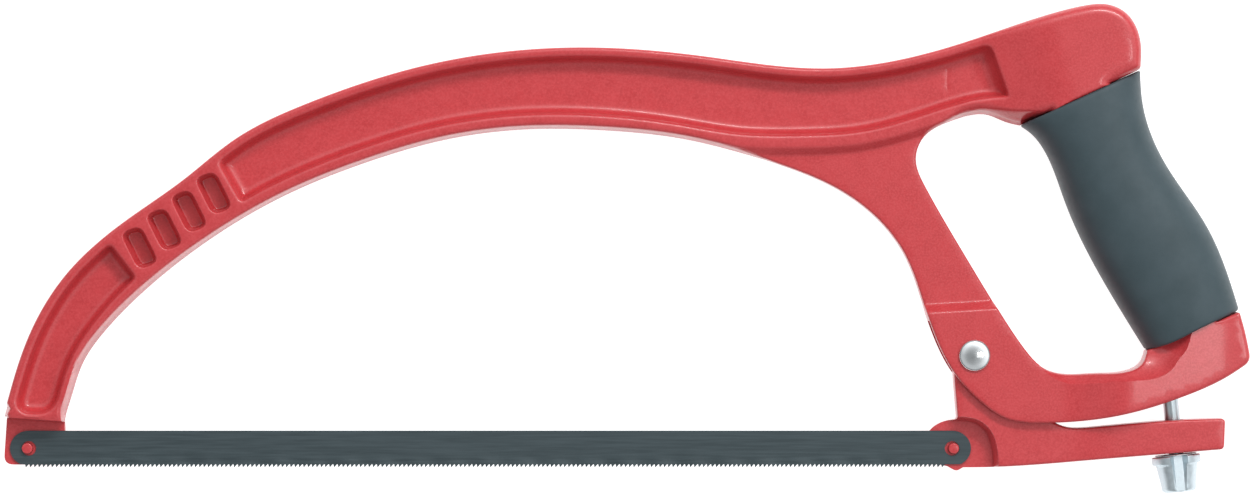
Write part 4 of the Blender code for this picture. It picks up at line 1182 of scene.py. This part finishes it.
# ==== turned pieces ====
def arc_rows(start, end, turn_from, turn_to, steps):
    """Quarter-round rows between two (distance, radius) corners, as an ellipse arc."""
    rows = []
    for k in range(steps + 1):
        turn = math.radians(turn_from + (turn_to - turn_from) * k / steps)
        rows.append((start[0] + (end[0] - start[0]) * math.sin(turn),
                     end[1] + (start[1] - end[1]) * math.cos(turn)))
    return rows


def build_pin(name, u, bottom, top):
    """Blade pin with a rounded and slightly domed end."""
    edge = 0.45
    rows = [(bottom, 0.0), (bottom, PIN_RADIUS)]
    rows += arc_rows((top - edge, PIN_RADIUS), (top, PIN_RADIUS - edge), 0.0, 90.0, 6)
    rows += [(top + 0.06, 0.0)]
    return turned(name, rows, (u, 0.0, 0.0), (0.0, 0.0, 1.0), 48)


def build_rivet():
    """Rivet with a domed head on each cheek of the fork."""
    face = FORK_HALF + 0.1
    base = face + 0.35
    radius = 5.1
    dome = 1.55
    rows = [(face, 2.7), (face, 4.9), (face + 0.12, radius), (base, radius)]
    for k in range(1, 13):
        turn = math.radians(90.0 * k / 12.0)
        rows.append((base + dome * math.sin(turn), radius * math.cos(turn)))
    rows[-1] = (base + dome, 0.0)
    near = rows[::-1]
    far = [(-distance, radius) for distance, radius in near[::-1]]
    rows = (near + far)[::-1]
    return turned("fork_rivet", rows, (*PIVOT, 0.0), (0.0, 0.0, 1.0), 96, sharp=60.0)


STUD_RADIUS = 2.5
STUD_INNER = -12.0          # its end inside the foot
STUD_END = 23.8
THREAD_START = 13.0
THREAD_PITCH = 0.8
THREAD_DEPTH = 0.4


def stud_reach(distance, radius, turn):
    """Outer radius of the stud, with its thread from THREAD_START on."""
    if distance <= THREAD_START or distance > STUD_END - 1.2:
        return radius
    phase = (distance / THREAD_PITCH - turn / (2.0 * math.pi)) % 1.0
    fade = min(1.0, (distance - THREAD_START) / THREAD_PITCH)
    return radius - THREAD_DEPTH * abs(2.0 * phase - 1.0) * fade


def build_stud():
    """Screw with a smooth shank where it shows and a thread under the knob."""
    steps = 6
    rows = [(STUD_INNER, 0.0), (STUD_INNER, STUD_RADIUS), (THREAD_START, STUD_RADIUS)]
    count = int((STUD_END - 1.0 - THREAD_START) / THREAD_PITCH * steps)
    for k in range(1, count + 1):
        rows.append((THREAD_START + k * THREAD_PITCH / steps, STUD_RADIUS))
    rows += [(STUD_END - 0.5, STUD_RADIUS - 0.3), (STUD_END, STUD_RADIUS - 0.8), (STUD_END, 0.0)]
    return turned("tension_screw", rows, on_screw(0.0), SCREW_DOWN, 48, stud_reach, sharp=50.0)


WASHER_START = 14.15
WASHER_THICK = 0.4
WASHER_RADIUS = 6.8
KNOB_BORE = 2.8


def build_washer():
    start = WASHER_START
    end = start + WASHER_THICK
    rim = WASHER_RADIUS - 0.15
    rows = [(start, KNOB_BORE), (start, rim), (start + 0.12, WASHER_RADIUS),
            (end - 0.12, WASHER_RADIUS), (end, rim), (end, KNOB_BORE)]
    return turned("thrust_ring", rows, on_screw(0.0), SCREW_DOWN, 96, ring=True)


KNOB_LENGTH = 11.75
KNOB_FLANGE = 2.6           # thickness of the flange
KNOB_FLANGE_RADIUS = 7.9
FLANGE_EDGE = 0.45
KNOB_TAPER = 0.16           # loss of radius for each millimetre
KNOB_BORE_DEPTH = 9.9
FLUTE_COUNT = 3
FLUTE_HALF_WIDTH = math.radians(21.0)
FLUTE_EDGE = math.radians(4.5)
FLUTE_FLOOR = 5.0
FLUTE_TURN = math.radians(87.0)


def knob_reach(_, radius, turn):
    """Outer radius of the knob with its three flat flutes."""
    if radius < FLUTE_FLOOR:
        return radius
    pitch = 2.0 * math.pi / FLUTE_COUNT
    off = abs((turn - FLUTE_TURN + 0.5 * pitch) % pitch - 0.5 * pitch)
    flat = min(radius, FLUTE_FLOOR / math.cos(off))
    share = min(1.0, max(0.0, (off - FLUTE_HALF_WIDTH) / FLUTE_EDGE + 1.0))
    return flat + (radius - flat) * share


def build_knob():
    start = KNOB_START
    flange = start + KNOB_FLANGE
    end = start + KNOB_LENGTH
    wide = KNOB_FLANGE_RADIUS
    brim = wide - FLANGE_EDGE
    depth = start + KNOB_BORE_DEPTH
    rows = [(depth, 0.0), (depth, KNOB_BORE), (start, KNOB_BORE), (start, brim - 0.05)]
    rows += arc_rows((start + FLANGE_EDGE, wide), (start, brim), 80.0, 0.0, 4)
    rows += arc_rows((flange - FLANGE_EDGE, wide), (flange, brim), 0.0, 80.0, 4)
    rows += [(flange + 0.15, 6.95), (flange + 0.4, 6.72), (flange + 0.9, 6.62)]
    rows += [(flange + 0.9 + k, 6.62 - KNOB_TAPER * k) for k in range(1, 7)]
    rows += arc_rows((end - 1.3, 5.62), (end, 4.1), 0.0, 90.0, 6)
    rows += [(end, 0.0)]
    return turned("knob_nut", rows, on_screw(0.0), SCREW_DOWN, 192, knob_reach, sharp=35.0)


# ==== materials ====
def start_material(name):
    mat = bpy.data.materials.new(name)
    mat.use_nodes = True
    tree = mat.node_tree
    shader = tree.nodes["Principled BSDF"]
    where = tree.nodes.new("ShaderNodeTexCoord")
    return mat, tree, shader, where.outputs["Object"]


def feed(tree, node, inputs):
    """Give each input its value, or link it where the value is a socket."""
    for key, value in inputs.items():
        if isinstance(value, bpy.types.NodeSocket):
            tree.links.new(value, node.inputs[key])
        else:
            node.inputs[key].default_value = value


def add_node(tree, kind, inputs, output, **settings):
    """Add a shader node and return one of its outputs."""
    node = tree.nodes.new("ShaderNode" + kind)
    for key, value in settings.items():
        setattr(node, key, value)
    feed(tree, node, inputs)
    return node.outputs[output]


def noise(tree, where, scale, detail=3.0, roughness=0.55, stretch=None):
    if stretch is not None:
        where = add_node(tree, "Mapping", {"Vector": where, "Scale": stretch}, "Vector")
    return add_node(tree, "TexNoise", {"Vector": where, "Scale": scale, "Detail": detail,
                                       "Roughness": roughness}, "Fac")


def span(tree, value, low_in, high_in, low_out, high_out):
    return add_node(tree, "MapRange", {"Value": value, "From Min": low_in, "From Max": high_in,
                                       "To Min": low_out, "To Max": high_out}, "Result")


def blend_colours(tree, factor, first, second):
    """Mix of two colours; each is a tuple or a socket."""
    first, second = ((*c, 1.0) if isinstance(c, tuple) else c for c in (first, second))
    return add_node(tree, "Mix", {"Factor": factor, 6: first, 7: second}, 2, data_type="RGBA")


def add_bumps(tree, shader, layers):
    """Stack of (height, strength, distance) bumps."""
    below = {}
    for height, strength, distance in layers:
        inputs = {"Height": height, "Strength": strength, "Distance": distance, **below}
        below = {"Normal": add_node(tree, "Bump", inputs, "Normal")}
    feed(tree, shader, below)


def powder_coat(name, colour, deep, light):
    """Satin powder coat: mottled colour, orange peel and a fine grain."""
    mat, tree, shader, where = start_material(name)
    patch = span(tree, noise(tree, where, 190.0, 3.0), 0.36, 0.64, 0.0, 1.0)
    speck = span(tree, noise(tree, where, 1500.0, 2.0), 0.38, 0.66, 0.0, 1.0)
    base = blend_colours(tree, patch, deep, colour)
    base = blend_colours(tree, span(tree, speck, 0.0, 1.0, 0.0, 0.8), base, light)
    rough = span(tree, noise(tree, where, 420.0, 2.0), 0.3, 0.7, 0.29, 0.38)
    feed(tree, shader, {"Base Color": base, "Roughness": rough, "Specular IOR Level": 0.5,
                        "Coat Weight": 0.4, "Coat Roughness": 0.13})
    add_bumps(tree, shader, [(noise(tree, where, 900.0, 2.0), 0.30, 0.00010),
                             (noise(tree, where, 2600.0, 2.0), 0.22, 0.00004)])
    return mat


def rubber(name, colour, deep):
    """Satin moulded rubber with a faint mottled grain."""
    mat, tree, shader, where = start_material(name)
    patch = span(tree, noise(tree, where, 90.0, 4.0), 0.35, 0.65, 0.0, 1.0)
    rough = span(tree, noise(tree, where, 600.0, 3.0), 0.3, 0.7, 0.46, 0.58)
    feed(tree, shader, {"Base Color": blend_colours(tree, patch, deep, colour),
                        "Roughness": rough, "Specular IOR Level": 0.4,
                        "Sheen Weight": 0.08, "Sheen Roughness": 0.5})
    add_bumps(tree, shader, [(noise(tree, where, 1300.0, 3.0), 0.14, 0.00006),
                             (noise(tree, where, 4200.0, 1.0), 0.10, 0.00002)])
    return mat


def blade_coat(name, colour, deep):
    """Dark baked finish on rolled strip: fine grain along the blade and light scuffs."""
    mat, tree, shader, where = start_material(name)
    streak = noise(tree, where, 60.0, 4.0, 0.6, (1.0, 22.0, 22.0))
    fine = noise(tree, where, 1800.0, 2.0)
    base = blend_colours(tree, span(tree, streak, 0.35, 0.65, 0.0, 1.0), deep, colour)
    feed(tree, shader, {"Base Color": base, "Metallic": 0.25,
                        "Roughness": span(tree, streak, 0.3, 0.7, 0.38, 0.52)})
    add_bumps(tree, shader, [(streak, 0.10, 0.00005), (fine, 0.10, 0.00003)])
    return mat


def bright_metal(name, colour, deep, rough_low, rough_high, grain, strength):
    """Plated metal with a soft cast or drawn grain and faint dull patches."""
    mat, tree, shader, where = start_material(name)
    patch = noise(tree, where, 500.0, 3.0)
    fine = noise(tree, where, grain, 2.0)
    base = blend_colours(tree, span(tree, patch, 0.3, 0.7, 0.0, 1.0), deep, colour)
    feed(tree, shader, {"Base Color": base, "Metallic": 1.0,
                        "Roughness": span(tree, patch, 0.3, 0.7, rough_low, rough_high)})
    add_bumps(tree, shader, [(fine, strength, 0.00003)])
    return mat


def floor_material():
    """Pale matt paper, lit a little from below."""
    mat, tree, shader, where = start_material("pale_paper")
    patch = noise(tree, where, 9.0, 3.0)
    base = blend_colours(tree, patch, (0.44, 0.44, 0.44), (0.47, 0.47, 0.47))
    feed(tree, shader, {"Base Color": base, "Roughness": 0.9, "Specular IOR Level": 0.1,
                        "Emission Color": (1.0, 1.0, 1.0, 1.0), "Emission Strength": 0.92})
    return mat


# ==== stage, light and camera ====
CAMERA_HEIGHT = 2.1
CAMERA_LENS = 185.6
CAMERA_SHIFT = 0.0002       # the camera stands this far to the right of the saw's middle
ROOM = [(0.0, 0.22), (0.35, 0.4), (0.6, 1.0), (0.85, 0.92), (1.0, 0.34)]  # height, glow
ROOM_SIDE = (0.64, 0.77, 0.0)           # the brighter side of the room
ROOM_TURN = (-0.35, 0.55)
ROOM_DIM = 0.62
ROOM_BRIGHT = 1.5
ROOM_COLOUR = (0.94, 0.98, 1.0, 1.0)
KEY_PLACE = (0.7, 1.5, 1.6)
KEY_SIZE = (1.3, 0.2)
KEY_WATTS = 22.0
SIDE_PLACE = (0.92, 0.05, 2.6)
SIDE_SIZE = (0.35, 0.6)
SIDE_WATTS = 5.0


def build_stage():
    mesh = bpy.data.meshes.new("floor")
    reach = 3.0
    mesh.from_pydata([(-reach, -reach, 0.0), (reach, -reach, 0.0), (reach, reach, 0.0),
                      (-reach, reach, 0.0)], [], [(0, 1, 2, 3)])
    floor = bpy.data.objects.new("floor", mesh)
    bpy.context.collection.objects.link(floor)
    floor.location.z = cad_low.z - 0.0002
    mesh.materials.append(floor_material())


def soft_light(name, place_at, target, size, watts):
    data = bpy.data.lights.new(name, "AREA")
    data.shape = "RECTANGLE"
    data.size = size[0]
    data.size_y = size[1]
    data.energy = watts
    lamp = bpy.data.objects.new(name, data)
    bpy.context.collection.objects.link(lamp)
    lamp.location = place_at
    lamp.rotation_mode = "QUATERNION"
    lamp.rotation_quaternion = (Vector(target) - Vector(place_at)).to_track_quat("-Z", "Y")


def build_light():
    """A room with a bright belt at mid height, a strip from the upper right and a side box."""
    world = bpy.data.worlds.new("soft_room")
    bpy.context.scene.world = world
    world.use_nodes = True
    tree = world.node_tree
    where = add_node(tree, "TexCoord", {}, "Generated")
    up = add_node(tree, "SeparateXYZ", {"Vector": where}, "Z")
    rise = add_node(tree, "ValToRGB", {"Fac": up}, "Color")
    stops = rise.node.color_ramp.elements
    while len(stops) < len(ROOM):
        stops.new(1.0)
    for stop, (height, glow) in zip(stops, ROOM):
        stop.position = height
        stop.color = (glow, glow, glow, 1.0)
    lean = add_node(tree, "VectorMath", {0: where, 1: ROOM_SIDE}, "Value", operation="DOT_PRODUCT")
    side = span(tree, lean, *ROOM_TURN, ROOM_DIM, ROOM_BRIGHT)
    glow = add_node(tree, "Math", {0: rise, 1: side}, "Value", operation="MULTIPLY")
    feed(tree, tree.nodes["Background"], {"Strength": glow, "Color": ROOM_COLOUR})
    soft_light("key", KEY_PLACE, (0.0, 0.0, 0.0), KEY_SIZE, KEY_WATTS)
    soft_light("side_box", SIDE_PLACE, (0.1, 0.0, 0.0), SIDE_SIZE, SIDE_WATTS)


def build_camera():
    data = bpy.data.cameras.new("camera")
    data.lens = CAMERA_LENS
    camera = bpy.data.objects.new("camera", data)
    bpy.context.collection.objects.link(camera)
    centre = (cad_low + cad_high) * 0.5
    camera.location = (centre.x + CAMERA_SHIFT, centre.y, centre.z + CAMERA_HEIGHT)
    bpy.context.scene.camera = camera


# ==== build ====
bpy.context.scene.view_settings.view_transform = "Standard"

RED = (0.58, 0.042, 0.049)
RED_DEEP = (0.53, 0.034, 0.040)
RED_LIGHT = (0.64, 0.062, 0.070)

coat = powder_coat("red_coat", RED, RED_DEEP, RED_LIGHT)
lever_coat = powder_coat("lever_coat", RED, RED_DEEP, RED_LIGHT)
pin_coat = powder_coat("pin_coat", RED, RED_DEEP, RED_LIGHT)
grip_mat = rubber("slate_rubber", (0.050, 0.076, 0.088), (0.040, 0.064, 0.074))
blade_mat = blade_coat("blued_strip", (0.056, 0.078, 0.087), (0.040, 0.058, 0.065))
chrome = bright_metal("chrome", (0.86, 0.87, 0.88), (0.80, 0.81, 0.82), 0.12, 0.17, 900.0, 0.0)
zinc = bright_metal("zinc_screw", (0.62, 0.69, 0.72), (0.55, 0.62, 0.64), 0.28, 0.4, 2500.0, 0.2)
dull_zinc = bright_metal("zinc_ring", (0.72, 0.75, 0.76), (0.62, 0.65, 0.66), 0.3, 0.45, 2500.0, 0.2)
cast_zinc = bright_metal("zinc_knob", (0.70, 0.78, 0.82), (0.60, 0.67, 0.71), 0.36, 0.5, 2600.0, 0.5)

place(build_frame(), "frame_casting", "frame", coat)
place(build_lever(), "tension_lever", "lever", lever_coat)
place(build_blade(), "blade", "blade", blade_mat)
place(build_grip(), "grip_sleeve", "frame", grip_mat)
place(build_pin("front_peg", -PIN_SHIFT, -6.0, 2.04), "front_blade_pin", "frame",
      pin_coat)
place(build_pin("rear_peg", BLADE_SPAN + PIN_SHIFT, -3.3, 2.04), "rear_blade_pin", "lever",
      pin_coat)
place(build_rivet(), "pivot_rivet", "frame", chrome)
place(build_stud(), "tension_stud", "frame", zinc)
place(build_washer(), "thrust_washer", "washer", dull_zinc)
place(build_knob(), "tension_knob", "knob", cast_zinc)

build_stage()
build_light()
build_camera()
